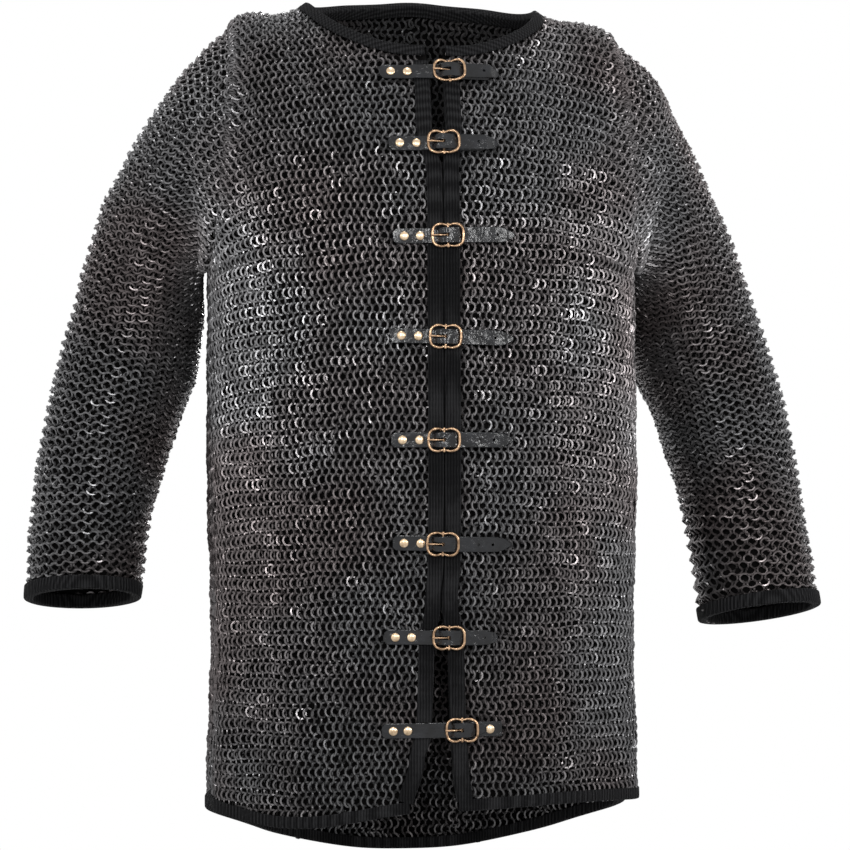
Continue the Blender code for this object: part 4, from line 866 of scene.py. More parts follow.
def ring_template():
    """Points of one ring in its own plane, its faces, and their corners in the ring's map."""
    points = []
    for k in range(RING_STEPS):
        angle = math.tau * k / RING_STEPS
        for m in range(SECTION_STEPS):
            turn = math.tau * (m + 0.5) / SECTION_STEPS
            reach = RING_RADIUS + math.copysign(RING_HALF_WIDTH, math.cos(turn))
            depth = math.copysign(RING_HALF_THICKNESS, math.sin(turn))
            points.append((reach * math.cos(angle), reach * math.sin(angle), depth))
    quads = np.array([((k, m), (k + 1, m), (k + 1, m + 1), (k, m + 1))
                      for k in range(RING_STEPS) for m in range(SECTION_STEPS)])
    faces = quads[..., 0] % RING_STEPS * SECTION_STEPS + quads[..., 1] % SECTION_STEPS
    inside = quads / np.array((RING_STEPS, SECTION_STEPS)) * MAP_FILL_SHARE + MAP_MARGIN_SHARE
    return np.array(points), faces, inside


ring_points, ring_faces, ring_corners = ring_template()


def ring_map(count):
    """One cell of the map for each ring, filled by its faces."""
    cells = math.ceil(math.sqrt(count))
    base = np.arange(count)
    corner = np.stack((base % cells, base // cells), axis=1) / cells
    return (corner[:, None, None, :] + ring_corners[None] / cells).reshape(-1, 2)


def ring_mesh(name, centres, along, up, out, lean):
    """Mesh of leaning rings at given places; lean is +1 or -1 for each."""
    count = len(centres)
    side = along * math.cos(RING_LEAN) - out * (lean * math.sin(RING_LEAN))[:, None]
    axis = np.cross(side, up)
    turns = random_numbers.normal(0.0, RING_TURN / 2.0, (3, count, 1))
    side = unit(side + axis * turns[0] + up * turns[1])
    upward = unit(square_to(up, side) + axis * turns[2])
    upward = unit(square_to(upward, side))
    axis = np.cross(side, upward)
    centres = centres + random_numbers.normal(0.0, RING_SHIFT / 2.0, (count, 3))
    centres = centres + drift(centres)
    places = centres[:, None, :]
    for k, direction in enumerate((side, upward, axis)):
        places = places + ring_points[None, :, k, None] * direction[:, None, :]
    corners = (ring_faces[None] + (np.arange(count) * len(ring_points))[:, None, None]).reshape(-1)
    mesh = bpy.data.meshes.new(name)
    mesh.vertices.add(count * len(ring_points))
    mesh.vertices.foreach_set("co", places.reshape(-1).astype(np.float32))
    mesh.loops.add(len(corners))
    mesh.loops.foreach_set("vertex_index", corners.astype(np.int32))
    mesh.polygons.add(len(corners) // 4)
    mesh.polygons.foreach_set("loop_start", np.arange(0, len(corners), 4, dtype=np.int32))
    mesh.update(calc_edges=True)
    layer = mesh.uv_layers.new(name="OFBake")
    layer.data.foreach_set("uv", ring_map(count).reshape(-1).astype(np.float32))
    return mesh


def drift(places):
    """Slow wander of the rows, as linked rings hang a little unevenly."""
    turns = places * (math.tau / DRIFT_LENGTH)
    across, up = turns[:, 0], turns[:, 2]
    warp_rate, fine_rate, side_rate = wander_rates
    fine_weight, side_weight = wander_weights
    warp = WANDER_WARP * np.sin(warp_rate * up)
    rise = np.sin(across + warp) + fine_weight * np.sin(fine_rate * across + up)
    shift = np.sin(side_rate * up + np.sin(across))
    return DRIFT * np.stack((side_weight * shift, np.zeros(len(places)), rise), axis=1)


def nearest_distance(points, line):
    """Distance from points to a finely sampled line, a block at a time."""
    result = []
    for start in range(0, len(points), NEAREST_BLOCK):
        block = points[start:start + NEAREST_BLOCK]
        result.append(np.linalg.norm(block[:, None, :] - line[None, :, :], axis=2).min(axis=1))
    return np.concatenate(result) if result else np.zeros(0)


def edge_line(side):
    """Free front edge of a sheet from the hem to the neckline, as (out, height) pairs."""
    pairs = []
    for down in np.linspace(HEM_SHARE, 0.0, EDGE_SAMPLES, endpoint=False):
        pairs.append((edge_share(side, hem_level(side, 0.0, down)), -float(down)))
    for share in np.linspace(0.0, 1.0, EDGE_SAMPLES // 2):
        out = edge_share(side, -ARMPIT_DROP * (1.0 - EDGE_GUESS_SHARE * share))
        pairs.append((out, float(share) * neckline_height(out)))
    return pairs


def neck_outs(first):
    """Places across the neckline, closer together towards its corner."""
    shares = np.linspace(0.0, 1.0, NECK_SAMPLES)
    return [first + (NECK_SHARE - first) * math.sin(share * QUARTER_TURN) for share in shares]


edge_pairs = {side: edge_line(side) for side in SIDES}
edge_points = {side: as_array(garment_point(side, *pair) for pair in edge_pairs[side]) for side in SIDES}
neck_front = {side: [(out, neckline_height(out)) for out in neck_outs(edge_pairs[side][-1][0])]
              for side in SIDES}
neck_back = [(out, nape_height(out)) for out in reversed(neck_outs(0.0))]
neck_points = np.concatenate([as_array(garment_point(side, *pair) for pair in neck_front[side] + neck_back)
                              for side in SIDES])
lattices = {name: [] for name in ("front_right", "front_left", "back", "sleeve_right", "sleeve_left")}


def add_rings(name, kept, centres, along, up, index, turn=1):
    """Gathers a row's rings for a sheet; rows lean by turns."""
    if kept.any():
        lean = turn if index % 2 else -turn
        along, up = along[kept], up[kept]
        lattices[name].append((centres[kept], along, up, np.cross(along, up), np.full(len(up), lean)))


def rings_at(at, row, below, above):
    """Ring centres at distances along a row, with the row's direction and the way up."""
    lengths = lengths_along(row)
    along = unit(np.gradient(row, axis=0))
    up = unit(square_to(above - below, along))
    return values_at(at, lengths, row), unit(values_at(at, lengths, along)), unit(values_at(at, lengths, up))


def stagger(index, pitch):
    """Alternate rows start half a pitch on."""
    return pitch / 2.0 * (index % 2) + pitch / 4.0


def droop(around, z):
    """How far a row hangs lower towards the side than in the middle; it fades out at the hem."""
    fade = 1.0 - smoothstep((-ARMPIT_DROP - z) / SKIRT_LENGTH)
    share = abs(around) % 4.0
    share = min(share, 4.0 - share)
    return ROWS_OF_DROOP * ROW_PITCH * min(share, 2.0 - share) ** 2 * fade


def torso_lines(side, around, z):
    """A drooping row's line, and the lines half a row below and above it."""
    return [as_array(torso_point(side, value, level - droop(value, level)) for value in around)
            for level in (z, z - ROW_PITCH / 2.0, z + ROW_PITCH / 2.0)]


def levels_down_to(lowest):
    """Numbers and heights of the torso's rows, from the armpits down."""
    index = -1
    while -ARMPIT_DROP + index * ROW_PITCH >= lowest:
        yield index, -ARMPIT_DROP + index * ROW_PITCH
        index -= 1


def clear_of_edge(side, centres):
    """Rings on their own side of the free front edge, far enough from it."""
    line = edge_points[side]
    order = np.argsort(line[:, 2])
    edge_x = np.interp(centres[:, 2], line[order, 2], line[order, 0])
    return (centres[:, 0] - edge_x) * side > RING_SIDE_CLEARANCE


def torso_rows():
    """Rows below the armpits run round the whole body."""
    around = np.linspace(0.0, 4.0, ROUND_SAMPLES)
    for index, z in levels_down_to(-SIDE_HEM_DROP - BACK_HEM_DIP):
        lines = torso_lines(LEFT, around, z)
        lengths = lengths_along(lines[0])
        pitch = lengths[-1] / COLUMNS
        at = np.arange(stagger(index, pitch), lengths[-1], pitch)
        rings = rings_at(at, *lines)
        centres = rings[0]
        place = np.interp(at, lengths, around)
        hem = np.array([hem_drop(LEFT if value <= 2.0 else RIGHT, min(value, 4.0 - value))
                        for value in place])
        kept = -centres[:, 2] < hem - RING_EDGE_CLEARANCE
        add_rings("front_left", kept & (place <= 1.0) & clear_of_edge(LEFT, centres), *rings, index)
        add_rings("back", kept & (place > 1.0) & (place < 3.0), *rings, index)
        add_rings("front_right", kept & (place >= 3.0) & clear_of_edge(RIGHT, centres), *rings, index)


def rows_past_middle():
    """A front edge that passes the middle is filled with rings from across it."""
    half_round = np.linspace(0.0, 2.0, HALF_ROUND_SAMPLES)
    for index, z in levels_down_to(-SIDE_HEM_DROP - hem_dips[RIGHT]):
        half = lengths_along(as_array(torso_point(LEFT, value, z) for value in half_round))[-1]
        pitch = 2.0 * half / COLUMNS
        for side in SIDES:
            lines = torso_lines(side, across_middle, z)
            if side == RIGHT:
                lines = [line[::-1] for line in lines]
            lengths = lengths_along(lines[0])
            middle = float(np.interp(0.0, lines[0][:, 0], lengths))
            at = np.arange((middle + stagger(index, pitch)) % pitch, lengths[-1], pitch)
            rings = rings_at(at, *lines)
            centres = rings[0]
            kept = (centres[:, 0] * side < 0.0) & clear_of_edge(side, centres)
            kept &= -centres[:, 2] < hem_drop(side, 0.0) - RING_EDGE_CLEARANCE
            add_rings("front_" + side_names[side], kept, *rings, index)


def yoke_rows(side, behind):
    """Rows above the armpits on one quarter of the body, from its middle to the armhole."""
    overs = np.linspace(0.0, 1.0, SECTION_SAMPLES)
    drops = np.linspace(ROWS_OF_DROOP * ROW_PITCH * DROOP_SPARE, 0.0, DROOP_SAMPLES, endpoint=False)
    columns = []
    for out in across_yoke:
        around = 2.0 - out if behind else out
        below = as_array(torso_point(side, around, -ARMPIT_DROP - drop) for drop in drops)
        line = as_array(yoke_point(side, out, 2.0 - over if behind else over) for over in overs)
        low = lengths_along(np.concatenate((below, line[:1])))
        columns.append((np.concatenate((below, line)),
                        np.concatenate((low[:-1] - low[-1], lengths_along(line)))))
    row_pitch = columns[-1][1][-1] / rows_on_armhole(side)
    droops = row_pitch * ROWS_OF_DROOP * across_yoke ** 2
    room = np.array([lengths[-1] for _, lengths in columns]) + droops
    order = slice(None, None, -1) if (side == RIGHT) != behind else slice(None)
    middle = int(np.argmin(np.abs(across_yoke[order])))
    for index in range(MOST_YOKE_ROWS):
        if index * row_pitch > room.max():
            break
        lines = [np.array([extended(line, lengths, (index + step) * row_pitch - lower)
                           for (line, lengths), lower in zip(columns, droops)])[order]
                 for step in (0.0, -0.5, 0.5)]
        lengths = lengths_along(lines[0])
        start = (lengths[middle] + stagger(index, chest_pitch)) % chest_pitch
        at = np.arange(start, lengths[-1], chest_pitch)
        rings = rings_at(at, *lines)
        outs = np.interp(at, lengths, across_yoke[order])
        kept = index * row_pitch <= np.interp(at, lengths, room[order]) + row_pitch * ROW_OVERRUN_SHARE
        kept &= outs < 1.0
        kept &= outs >= 0.0 if behind else clear_of_edge(side, rings[0])
        levels = index * row_pitch - row_pitch * ROWS_OF_DROOP * outs ** 2
        kept &= [inside_neck(out, level, columns, overs, behind) for out, level in zip(outs, levels)]
        kept &= nearest_distance(rings[0], neck_points) > RING_EDGE_CLEARANCE
        add_rings("back" if behind else "front_" + side_names[side], kept, *rings, index)


def inside_neck(out, distance, columns, overs, behind):
    """Whether a place lies on the mail's side of the neckline."""
    lengths = columns[int(np.argmin(np.abs(across_yoke - out)))][1]
    over = np.interp(distance, lengths[DROOP_SAMPLES:], overs)
    top = 2.0 - nape_height(out) if behind else neckline_height(out)
    return over < top or abs(out) >= NECK_SHARE


def extended(line, lengths, at):
    """Point at a distance along a line, run on straight past its ends."""
    if at < lengths[0]:
        return line[0] + (line[0] - line[1]) / (lengths[1] - lengths[0]) * (lengths[0] - at)
    if at > lengths[-1]:
        return line[-1] + (line[-1] - line[-2]) / (lengths[-1] - lengths[-2]) * (at - lengths[-1])
    return values_at(at, lengths, line)


def rows_on_armhole(side):
    line = as_array(yoke_point(side, 1.0, over) for over in np.linspace(0.0, 1.0, SECTION_SAMPLES))
    return 2 * round(lengths_along(line)[-1] / ROW_PITCH / 2.0)


def sleeve_rows(side):
    """Rows run down the arm, counted from the ridge of the shoulder to each side."""
    alongs = np.linspace(0.0, 1.0, SECTION_SAMPLES)
    ridge_lengths = lengths_along(as_array(sleeve_point(side, along, 1.0) for along in alongs))
    cuff = as_array(sleeve_point(side, 1.0, over) for over in np.linspace(0.0, 2.0, CUFF_SAMPLES))
    rows_to_ridge = rows_on_armhole(side)
    for behind in (False, True):
        overs = np.linspace(1.0, 2.0 if behind else 0.0, SLEEVE_SAMPLES)
        lines = [as_array(sleeve_point(side, along, over) for over in overs) for along in alongs]
        sections = [(line, lengths_along(line)) for line in lines]
        full_pitch = sections[0][1][-1] / rows_to_ridge
        pitches = full_pitch * (1.0 - (1.0 - CUFF_ROW_SHARE) * alongs)
        below = -0.5 if behind else 0.5
        for number in range(1 if behind else 0, rows_to_ridge + SPARE_SLEEVE_ROWS):
            lines = [np.array([extended(line, lengths, (number + step) * pitch)
                               for (line, lengths), pitch in zip(sections, pitches)])
                     for step in (0.0, below, -below)]
            index = rows_to_ridge - number
            start = SLEEVE_RING_PITCH * sleeve_start_shares[index % 2]
            stations = np.arange(start, ridge_lengths[-1], SLEEVE_RING_PITCH)
            place = np.interp(stations, ridge_lengths, alongs)
            at = np.interp(place, alongs, lengths_along(lines[0]))
            centres, along, up = rings_at(at, *lines)
            room = np.interp(place, alongs, [lengths[-1] for _, lengths in sections])
            kept = number * np.interp(place, alongs, pitches) <= room + full_pitch * ROW_OVERRUN_SHARE
            kept &= nearest_distance(centres, cuff) > RING_EDGE_CLEARANCE
            add_rings("sleeve_" + side_names[side], kept, centres, along * side, up, index, side)


chest_line = as_array(torso_point(LEFT, value, -ARMPIT_DROP)
                      for value in np.linspace(0.0, 4.0, ROUND_SAMPLES))
chest_round = lengths_along(chest_line)[-1]
COLUMNS = 2 * round(chest_round / RING_PITCH / 2.0)
chest_pitch = chest_round / COLUMNS
torso_rows()
rows_past_middle()
for side in SIDES:
    yoke_rows(side, False)
    yoke_rows(side, True)
    sleeve_rows(side)


def ring_pieces(name):
    """A sheet's rings, in pieces of about equal count."""
    joined = [np.concatenate(values) for values in zip(*lattices[name])]
    total = len(joined[0])
    made = []
    for k, block in enumerate(np.array_split(np.arange(total), math.ceil(total / RINGS_IN_PIECE))):
        piece_name = f"mail_{name}_rings_{k + 1}"
        mesh = ring_mesh(piece_name, *[values[block] for values in joined])
        made.append(place_piece(piece_name, mesh, "mail", sharp_degrees=RING_SHARP_DEG))
    return made


def set_back(point_at, u, v, turn, distance=PAINTED_SHADE_SETBACK):
    return point_at(u, v) - surface_normal(point_at, u, v, turn) * distance


def front_painted_shade(side):
    """Places of the dark sheet of painted shade that closes the holes of a front's rings."""
    grid = []
    for out, height in edge_pairs[side][::PAINTED_SHADE_EDGE_STRIDE] + edge_pairs[side][-1:]:
        row = []
        for share in np.linspace(0.0, 1.0, FRONT_PAINTED_SHADE_STEPS):
            place = out + (NEARLY_ONE - out) * float(share)
            level = height
            if height > 0.0:
                level = height / neckline_height(out) * neckline_height(place)
            row.append(set_back(partial(garment_point, side), place, min(level, NEARLY_ONE), side))
        grid.append(row)
    return grid


# Places of the back's dark sheet of painted shade behind its rings
def back_painted_shade():
    places = [(RIGHT, float(out)) for out in np.linspace(NEARLY_ONE, 0.0, BACK_PAINTED_SHADE_STEPS)]
    places += [(LEFT, float(out)) for out in np.linspace(0.0, NEARLY_ONE, BACK_PAINTED_SHADE_STEPS)[1:]]
    grid = []
    for down in np.linspace(HEM_SHARE, SKIRT_PAINTED_SHADE_END, SKIRT_PAINTED_SHADE_ROWS):
        grid.append([set_back(partial(garment_point, side), out, 2.0 + float(down), side, BACK_SETBACK)
                     for side, out in places])
    for share in np.linspace(0.0, 1.0, YOKE_PAINTED_SHADE_ROWS):
        levels = [2.0 - min(share * (2.0 - nape_height(out)), NEARLY_ONE) for side, out in places]
        grid.append([set_back(partial(garment_point, side), out, level, side, BACK_SETBACK)
                     for (side, out), level in zip(places, levels)])
    return grid


# Places of a sleeve's dark sheet of painted shade behind its rings
def sleeve_painted_shade(side):
    alongs = np.linspace(*sleeve_painted_shade_ends, SLEEVE_PAINTED_SHADE_ROWS)
    overs = np.linspace(0.0, 2.0, SLEEVE_PAINTED_SHADE_STEPS, endpoint=False)
    return [[set_back(partial(sleeve_point, side), float(along), float(over), side) for over in overs]
            for along in alongs]


# Each mail sheet: a dark sheet of painted shade in its CAD node's place, then its rings
painted_shades = {"front_right": front_painted_shade(RIGHT), "front_left": front_painted_shade(LEFT), "back": back_painted_shade(),
            "sleeve_right": sleeve_painted_shade(RIGHT), "sleeve_left": sleeve_painted_shade(LEFT)}
for name, grid in painted_shades.items():
    sheet_name = f"mail_{name}_depth"
    mesh = grid_mesh(sheet_name, grid, round_row="sleeve" in name)
    place_piece(sheet_name, mesh, "painted_shade", "mail_" + name)
    ring_pieces(name)


def binding(name, stations, width, node, closed=False):
    """Tape folded over an edge. A station holds the edge point, its normal and the way in."""
    outer = [(share, height * MM) for share, height in tape_outer_mm]
    section = outer + [(share, -height) for share, height in reversed(outer[:-1])]
    section += [(share, height * MM) for share, height in tape_inner_mm]
    rows = [[point + inward * (width * share) + normal * height for share, height in section]
            for point, normal, inward in stations]
    mesh = turned_out(grid_mesh(name, rows, round_run=closed, capped=not closed))
    return place_piece(name, mesh, "cloth", node, sharp_degrees=TAPE_SHARP_DEG)


def stations_on(run, rounded=False):
    """Stations at places that hold a surface, its turn, u, v, and the tape's lip in u and v."""
    points = [at(u, v) for at, turn, u, v, lip_u, lip_v in run]
    lips = [at(lip_u, lip_v) for at, turn, u, v, lip_u, lip_v in run]
    normals = [surface_normal(at, u, v, turn) for at, turn, u, v, lip_u, lip_v in run]
    if rounded:
        points, lips = eased(points), eased(lips)
    points, lips = as_array(points), as_array(lips)
    tangents = unit(np.gradient(points, axis=0))
    stations = []
    for point, lip, normal, tangent in zip(points, lips, normals, tangents):
        inward = lip - point
        inward = inward - tangent * np.dot(inward, tangent)
        stations.append((Vector(point), normal, Vector(inward / np.linalg.norm(inward))))
    return stations


def eased(points):
    """A line with its kink in the middle, at the nape, rounded off."""
    line = as_array(points)
    first, last = len(points) // 2 - EASED_REACH, len(points) // 2 + EASED_REACH + 1
    for _ in range(EASING_PASSES):
        line[first:last] = (line[first - 1:last - 1] + line[first + 1:last + 1]) / 2.0
    return [Vector(point) for point in line]


def front_binding(side):
    surface = partial(garment_point, side)
    strip = share_at(FRONT_BINDING_WIDTH)
    run = []
    for out, height in edge_pairs[side][taped_edge]:
        if height > 0.0 and height > neckline_height(out) * FRONT_TAPE_END_SHARE:
            break
        run.append((surface, side, out, height, out + strip, height))
    return stations_on(run)


def hem_binding():
    lip = HEM_BINDING_WIDTH / SKIRT_LENGTH
    places = [(RIGHT, out) for out in np.linspace(edge_share(RIGHT, -SIDE_HEM_DROP), 2.0, HEM_STATIONS)]
    places += [(LEFT, out) for out in np.linspace(2.0, edge_share(LEFT, -SIDE_HEM_DROP), HEM_STATIONS)[1:]]
    return stations_on([(partial(skirt_point, side), -side, float(around), HEM_SHARE, float(around),
                         HEM_SHARE - lip) for side, around in places])


def neck_binding():
    run = []
    for side in SIDES:
        half = [(out, height, -NECK_LIP_RISE_SHARE) for out, height in neck_front[side][1:-1]]
        half += [(out, height, NECK_LIP_RISE_SHARE) for out, height in neck_back[1:]]
        if side == LEFT:
            half = half[::-1][1:]
        run += [(partial(garment_point, side), side, out, height, out + NECK_LIP_SHARE, height + rise)
                for out, height, rise in half]
    return stations_on(run, rounded=True)


def cuff_binding(side):
    surface = partial(sleeve_point, side)
    per_length = CUFF_PROBE_SHARE / (surface(1.0, 0.5) - surface(1.0 - CUFF_PROBE_SHARE, 0.5)).length
    end = 1.0 - BOUND_INSET * per_length
    lip = end - CUFF_BINDING_WIDTH * per_length
    return stations_on([(surface, side, end, float(over), lip, float(over))
                        for over in np.linspace(0.0, 2.0, CUFF_STATIONS, endpoint=False)])


for side, label in side_names.items():
    binding("tape_front_edge_" + label, front_binding(side),
                                         FRONT_BINDING_WIDTH, "front_edge_binding_" + label)
    binding("tape_cuff_" + label, cuff_binding(side), CUFF_BINDING_WIDTH,
                                        "cuff_binding_" + label, closed=True)
binding("tape_hem", hem_binding(), HEM_BINDING_WIDTH, "hem_binding")
binding("tape_neck", neck_binding(), NECK_BINDING_WIDTH, "neck_binding")


def smooth_path(path, widths, count):
    """The profile's corners rounded: evenly spaced places, heights and widths."""
    path = np.array(path, dtype=float)
    lengths = running_total(np.hypot(*np.diff(path, axis=0).T))
    at = np.linspace(0.0, lengths[-1], count)
    rounded = []
    for axis in range(2):
        values = np.interp(at, lengths, path[:, axis])
        padded = np.concatenate((values[:1] * 2 - values[2:0:-1], values,
                                 values[-1:] * 2 - values[-2:-4:-1]))
        rounded.append(np.convolve(padded, path_kernel, mode="valid"))
    return np.stack(rounded, axis=1), np.interp(at, lengths, np.array(widths, dtype=float))


def leather_band(name, closure, path, widths, thickness, count):
    """Leather strip with softened edges that bends with the body."""
    places, wide = smooth_path(path, widths, count)
    half = thickness / 2.0
    runs = unit(np.gradient(places, axis=0))
    rows = []
    for (place, height), run, width in zip(places, runs, wide):
        across = width / 2.0
        inner, side = across - LEATHER_ROUND, half - LEATHER_ROUND
        section = ((across, -side), (across, side), (inner, half), (across / 3.0, half),
                   (-across / 3.0, half), (-inner, half), (-across, side), (-across, -side),
                   (-inner, -half), (inner, -half))
        rows.append([closure.on_body(place - run[1] * lift, sideways, height + run[0] * lift)
                     for sideways, lift in section])
    return turned_out(grid_mesh(name, rows, capped=True))


def evaluated_mesh(item):
    bpy.context.view_layer.update()
    return bpy.data.meshes.new_from_object(item.evaluated_get(bpy.context.evaluated_depsgraph_get()))


def cut_mesh(mesh, cutter_shape):
    """The mesh less the cutter's round holes and slot."""
    cutter_mesh = bpy.data.meshes.new("cutter")
    cutter_shape.to_mesh(cutter_mesh)
    cutter_shape.free()
    item = bpy.data.objects.new("cut", mesh)
    cutter = bpy.data.objects.new("cutter", cutter_mesh)
    for piece in (item, cutter):
        bpy.context.scene.collection.objects.link(piece)
    modifier = item.modifiers.new("cut", "BOOLEAN")
    modifier.solver = "EXACT"
    modifier.use_self = True
    modifier.object = cutter
    result = evaluated_mesh(item)
    for piece in (item, cutter):
        bpy.data.objects.remove(piece, do_unlink=True)
    return result


def add_plug(shape, frame_here, radius, low, high):
    middle = Matrix.Translation((0.0, 0.0, (low + high) / 2.0))
    bmesh.ops.create_cone(shape, cap_ends=True, segments=PLUG_SIDES, radius1=radius, radius2=radius,
                          depth=high - low, matrix=frame_here @ middle)


def add_slot(shape, closure, along, length, width, low, high):
    slot_frame = closure.frame @ Matrix.Translation((along, 0.0, 0.0))
    middle = Matrix.Translation((0.0, 0.0, (low + high) / 2.0))
    size = Matrix.Diagonal((length, width, high - low, 1.0))
    bmesh.ops.create_cube(shape, size=1.0, matrix=slot_frame @ middle @ size)


def place_leather(node, mesh, cutter_shape):
    place_piece("leather_" + node, cut_mesh(mesh, cutter_shape), "leather", node,
                sharp_degrees=LEATHER_SHARP_DEG)


def strap_piece(closure):
    node = "strap_" + closure.name
    path = strap_profile(closure)
    widths = strap_widths(closure, path)
    mesh = leather_band("leather_" + node, closure, path, widths, STRAP_THICKNESS, STRAP_STEPS)
    shape = bmesh.new()
    low = -MAIL_THICKNESS / 2.0 - CUT_OVERRUN
    high = STRAP_CREST + STRAP_THICKNESS + CUT_OVERRUN
    add_slot(shape, closure, -BUCKLE_HALF_LENGTH * SLOT_MIDDLE_SHARE,
             BUCKLE_HALF_LENGTH * SLOT_LENGTH_SHARE, 2.0 * HOLE_RADIUS, low, high)
    along = HOLE_START
    while along < closure.tip - STRAP_POINT_LENGTH * LAST_HOLE_SHARE:
        add_plug(shape, closure.frame_at(along), PRONG_HOLE_RADIUS, low, high)
        along += HOLE_PITCH
    place_leather(node, mesh, shape)


def chape_piece(closure):
    node = "chape_" + closure.name
    path = chape_profile()
    widths = [CHAPE_WIDTH] * len(path)
    thickness = CHAPE_THICKNESS - CHAPE_SKIVE
    mesh = leather_band("leather_" + node, closure, path, widths, thickness, CHAPE_STEPS)
    shape = bmesh.new()
    past = EYE_CLEARANCE + 2.0 * PRONG_RADIUS + EASE
    length = CHAPE_LOOP_RADIUS + CHAPE_THICKNESS + past + CUT_OVERRUN
    add_slot(shape, closure, past - length / 2.0, length, CHAPE_SLOT_WIDTH, BINDING_TOP - CUT_OVERRUN,
             STRAP_CREST + CUT_OVERRUN)
    place_leather(node, mesh, shape)


def wire_mesh(name, points, radius, round_steps, closed=False):
    """Round wire through points."""
    curve = bpy.data.curves.new(name, "CURVE")
    curve.dimensions = "3D"
    curve.bevel_depth = radius
    curve.bevel_resolution = round_steps
    curve.use_fill_caps = True
    curve.twist_mode = "MINIMUM"
    path = curve.splines.new("POLY")
    path.points.add(len(points) - 1)
    for spot, point in zip(path.points, points):
        spot.co = (*point, 1.0)
    path.use_cyclic_u = closed
    source = bpy.data.objects.new(name, curve)
    bpy.context.scene.collection.objects.link(source)
    mesh = evaluated_mesh(source)
    bpy.data.objects.remove(source, do_unlink=True)
    return mesh


def spread_along(points, count, endpoint=True):
    """Points spread evenly along a line."""
    line = np.array(points)
    lengths = lengths_along(line)
    return values_at(np.linspace(0.0, lengths[-1], count, endpoint=endpoint), lengths, line)


def frame_piece(closure, pivot):
    """Rim, bar and the two knobs at the rim's waist, as one casting that turns with its body."""
    outline = rim_points(RIM_SAMPLES)
    rim_line = spread_along(outline + outline[:1], RIM_STEPS, endpoint=False)
    bar_line = [(0.0, -BUCKLE_WAIST_HEIGHT, 0.0), (0.0, BUCKLE_WAIST_HEIGHT, 0.0)]
    shape = bmesh.new()
    shape.from_mesh(wire_mesh("rim", rim_line, RIM_RADIUS, WIRE_ROUND_STEPS, closed=True))
    shape.from_mesh(wire_mesh("bar", bar_line, BAR_RADIUS, WIRE_ROUND_STEPS))
    for end in (1.0, -1.0):
        knob = Matrix.Translation((0.0, end * (BUCKLE_WAIST_HEIGHT + RIM_RADIUS), 0.0))
        bmesh.ops.create_uvsphere(shape, u_segments=12, v_segments=8, radius=KNOB_RADIUS, matrix=knob)
    shape.transform(pivot @ Matrix.Rotation(-FRAME_LEAN, 4, "Y"))
    mesh = bpy.data.meshes.new("brass_frame_" + closure.name)
    shape.to_mesh(mesh)
    shape.free()
    node = "buckle_frame_" + closure.name
    place_piece("brass_frame_" + closure.name, mesh, "buckle", node, body=node)


def prong_piece(closure, pivot):
    line = spread_along(prong_points(), PRONG_STEPS)
    smooth = line.copy()
    for axis in range(3):
        smooth[2:-2, axis] = np.convolve(line[:, axis], prong_kernel, mode="valid")
    wire = wire_mesh("brass_prong_" + closure.name, smooth, PRONG_RADIUS, PRONG_ROUND_STEPS)
    wire.transform(pivot)
    node = "prong_" + closure.name
    place_piece("brass_prong_" + closure.name, wire, "buckle", node, body=node)


def rivet_piece(name, frame_here, seat_height, node):
    """Domed rivet with its shank and the burr behind the mail."""
    under = seat_height + GAP
    inner = -MAIL_THICKNESS / 2.0 - RIVET_BURR_CLEARANCE
    wide, deep = burr_chamfer_shares
    profile = []
    for share in np.linspace(0.0, DOME_END_SHARE, DOME_STEPS):
        angle = share * QUARTER_TURN
        profile.append((RIVET_HEAD_RADIUS * math.sin(angle), under + RIVET_HEAD_HEIGHT * math.cos(angle)))
    profile += [(RIVET_HEAD_RADIUS, under), (RIVET_SHANK_RADIUS, under), (RIVET_SHANK_RADIUS, inner),
                (RIVET_BURR_RADIUS, inner), (RIVET_BURR_RADIUS * wide, inner - RIVET_BURR_HEIGHT * deep),
                (0.0, inner - RIVET_BURR_HEIGHT)]
    angles = [math.tau * k / RIVET_SIDES for k in range(RIVET_SIDES)]
    rows = [[(radius * math.cos(angle), radius * math.sin(angle), height) for angle in angles]
            for radius, height in profile]
    mesh = turned_out(grid_mesh(name, rows), weld=RIVET_WELD, placing=frame_here)
    place_piece(name, mesh, "rivet", node, sharp_degrees=RIVET_SHARP_DEG)


for index in range(len(closure_drop_shares)):
    closure = Closure(index)
    strap_piece(closure)
    chape_piece(closure)
    pivot = closure.frame @ Matrix.Translation((0.0, 0.0, BAR_HEIGHT))
    frame_piece(closure, pivot)
    prong_piece(closure, pivot)
    for label, along in (("outer", closure.rivet), ("inner", closure.inner_rivet)):
        rivet_name = f"rivet_{label}_{closure.name}"
        rivet_piece("brass_" + rivet_name, closure.frame_at(along), closure.seat(along) + STRAP_THICKNESS,
                    rivet_name)
rivet_piece("brass_chape_rivet_8", closure.frame_at(CHAPE_RIVET_REACH), CHAPE_TOP, "chape_rivet_8")

# The floor, white surroundings, six soft lamps and the camera
FLOOR_HALF_WIDTH = 1.1
FLOOR_LEVEL = -1.02
LAMP_WIDTH = 0.32
LAMP_HEIGHT = 0.7
LIT_STRENGTH = 0.28
SEEN_STRENGTH = 1.0
lamp_aim = Vector((0.0, 0.0, -0.42))
lamps = (("front", (-0.5, -3.0, 0.5), 26.0), ("near", (1.2, -2.8, 0.3), 20.0),
         ("left", (-2.3, -1.9, 0.4), 16.0), ("right", (2.4, -1.4, 0.3), 16.0),
         ("top", (0.0, -0.4, 1.9), 12.0), ("back", (0.6, 2.4, 0.5), 20.0))
camera_target = Vector((0.0042, 0.0, -0.4255))
CAMERA_AZIMUTH = math.radians(-7.5)
CAMERA_DISTANCE = 4.0
SENSOR_WIDTH_MM = 36.0
WIDTH_IN_VIEW = 0.8925


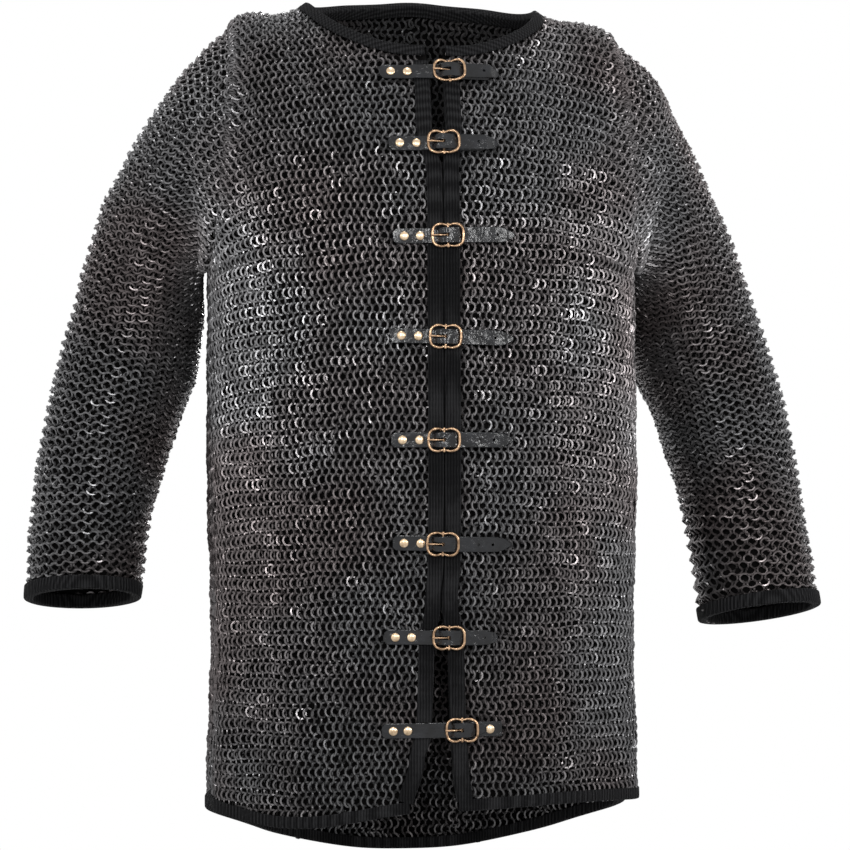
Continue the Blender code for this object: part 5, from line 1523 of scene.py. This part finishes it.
def put_facing(name, data, place, target):
    """An object at a place, turned so that it looks at a target."""
    item = bpy.data.objects.new(name, data)
    bpy.context.scene.collection.objects.link(item)
    item.location = place
    item.rotation_euler = (target - Vector(place)).to_track_quat("-Z", "Y").to_euler()
    return item


def add_floor():
    mesh = bpy.data.meshes.new("floor")
    half, low = FLOOR_HALF_WIDTH, FLOOR_LEVEL
    mesh.from_pydata([(-half, -half, low), (half, -half, low), (half, half, low), (-half, half, low)], [],
                     [(0, 1, 2, 3)])
    floor = bpy.data.objects.new("floor", mesh)
    bpy.context.scene.collection.objects.link(floor)
    material, tree, shader = node_material("pale_floor")
    feed(tree, shader, {"Base Color": (0.86, 0.86, 0.86, 1.0), "Roughness": 0.9})
    mesh.materials.append(material)


def light_world():
    """Dim white light, which shows as full white behind the part and in glossy reflections."""
    world = bpy.context.scene.world or bpy.data.worlds.new("studio")
    bpy.context.scene.world = world
    world.use_nodes = True
    tree = world.node_tree
    tree.nodes.clear()
    lit, seen = [add_node(tree, "Background", {"Color": (1.0, 1.0, 1.0, 1.0), "Strength": strength})
                 for strength in (LIT_STRENGTH, SEEN_STRENGTH)]
    path = add_node(tree, "LightPath", {})
    total = path.outputs["Is Camera Ray"]
    for label in ("Is Glossy Ray", "Is Transmission Ray"):
        total = math_node(tree, "ADD", total, path.outputs[label], use_clamp=True)
    mix = add_node(tree, "MixShader", {"Fac": total, 1: lit.outputs["Background"],
                                       2: seen.outputs["Background"]})
    add_node(tree, "OutputWorld", {"Surface": mix.outputs["Shader"]})


add_floor()
light_world()
for name, place, energy in lamps:
    lamp = bpy.data.lights.new(name, "AREA")
    lamp.shape = "RECTANGLE"
    lamp.size = LAMP_WIDTH
    lamp.size_y = LAMP_HEIGHT
    lamp.energy = energy
    put_facing(name, lamp, place, lamp_aim)
camera = bpy.data.cameras.new("camera")
camera.lens_unit = "MILLIMETERS"
camera.sensor_width = SENSOR_WIDTH_MM
camera.lens = SENSOR_WIDTH_MM * CAMERA_DISTANCE / WIDTH_IN_VIEW
view_from = Vector((math.sin(CAMERA_AZIMUTH), -math.cos(CAMERA_AZIMUTH), 0.0))
camera_place = camera_target + view_from * CAMERA_DISTANCE
bpy.context.scene.camera = put_facing("camera", camera, camera_place, camera_target)
bpy.context.scene.view_settings.view_transform = "Standard"
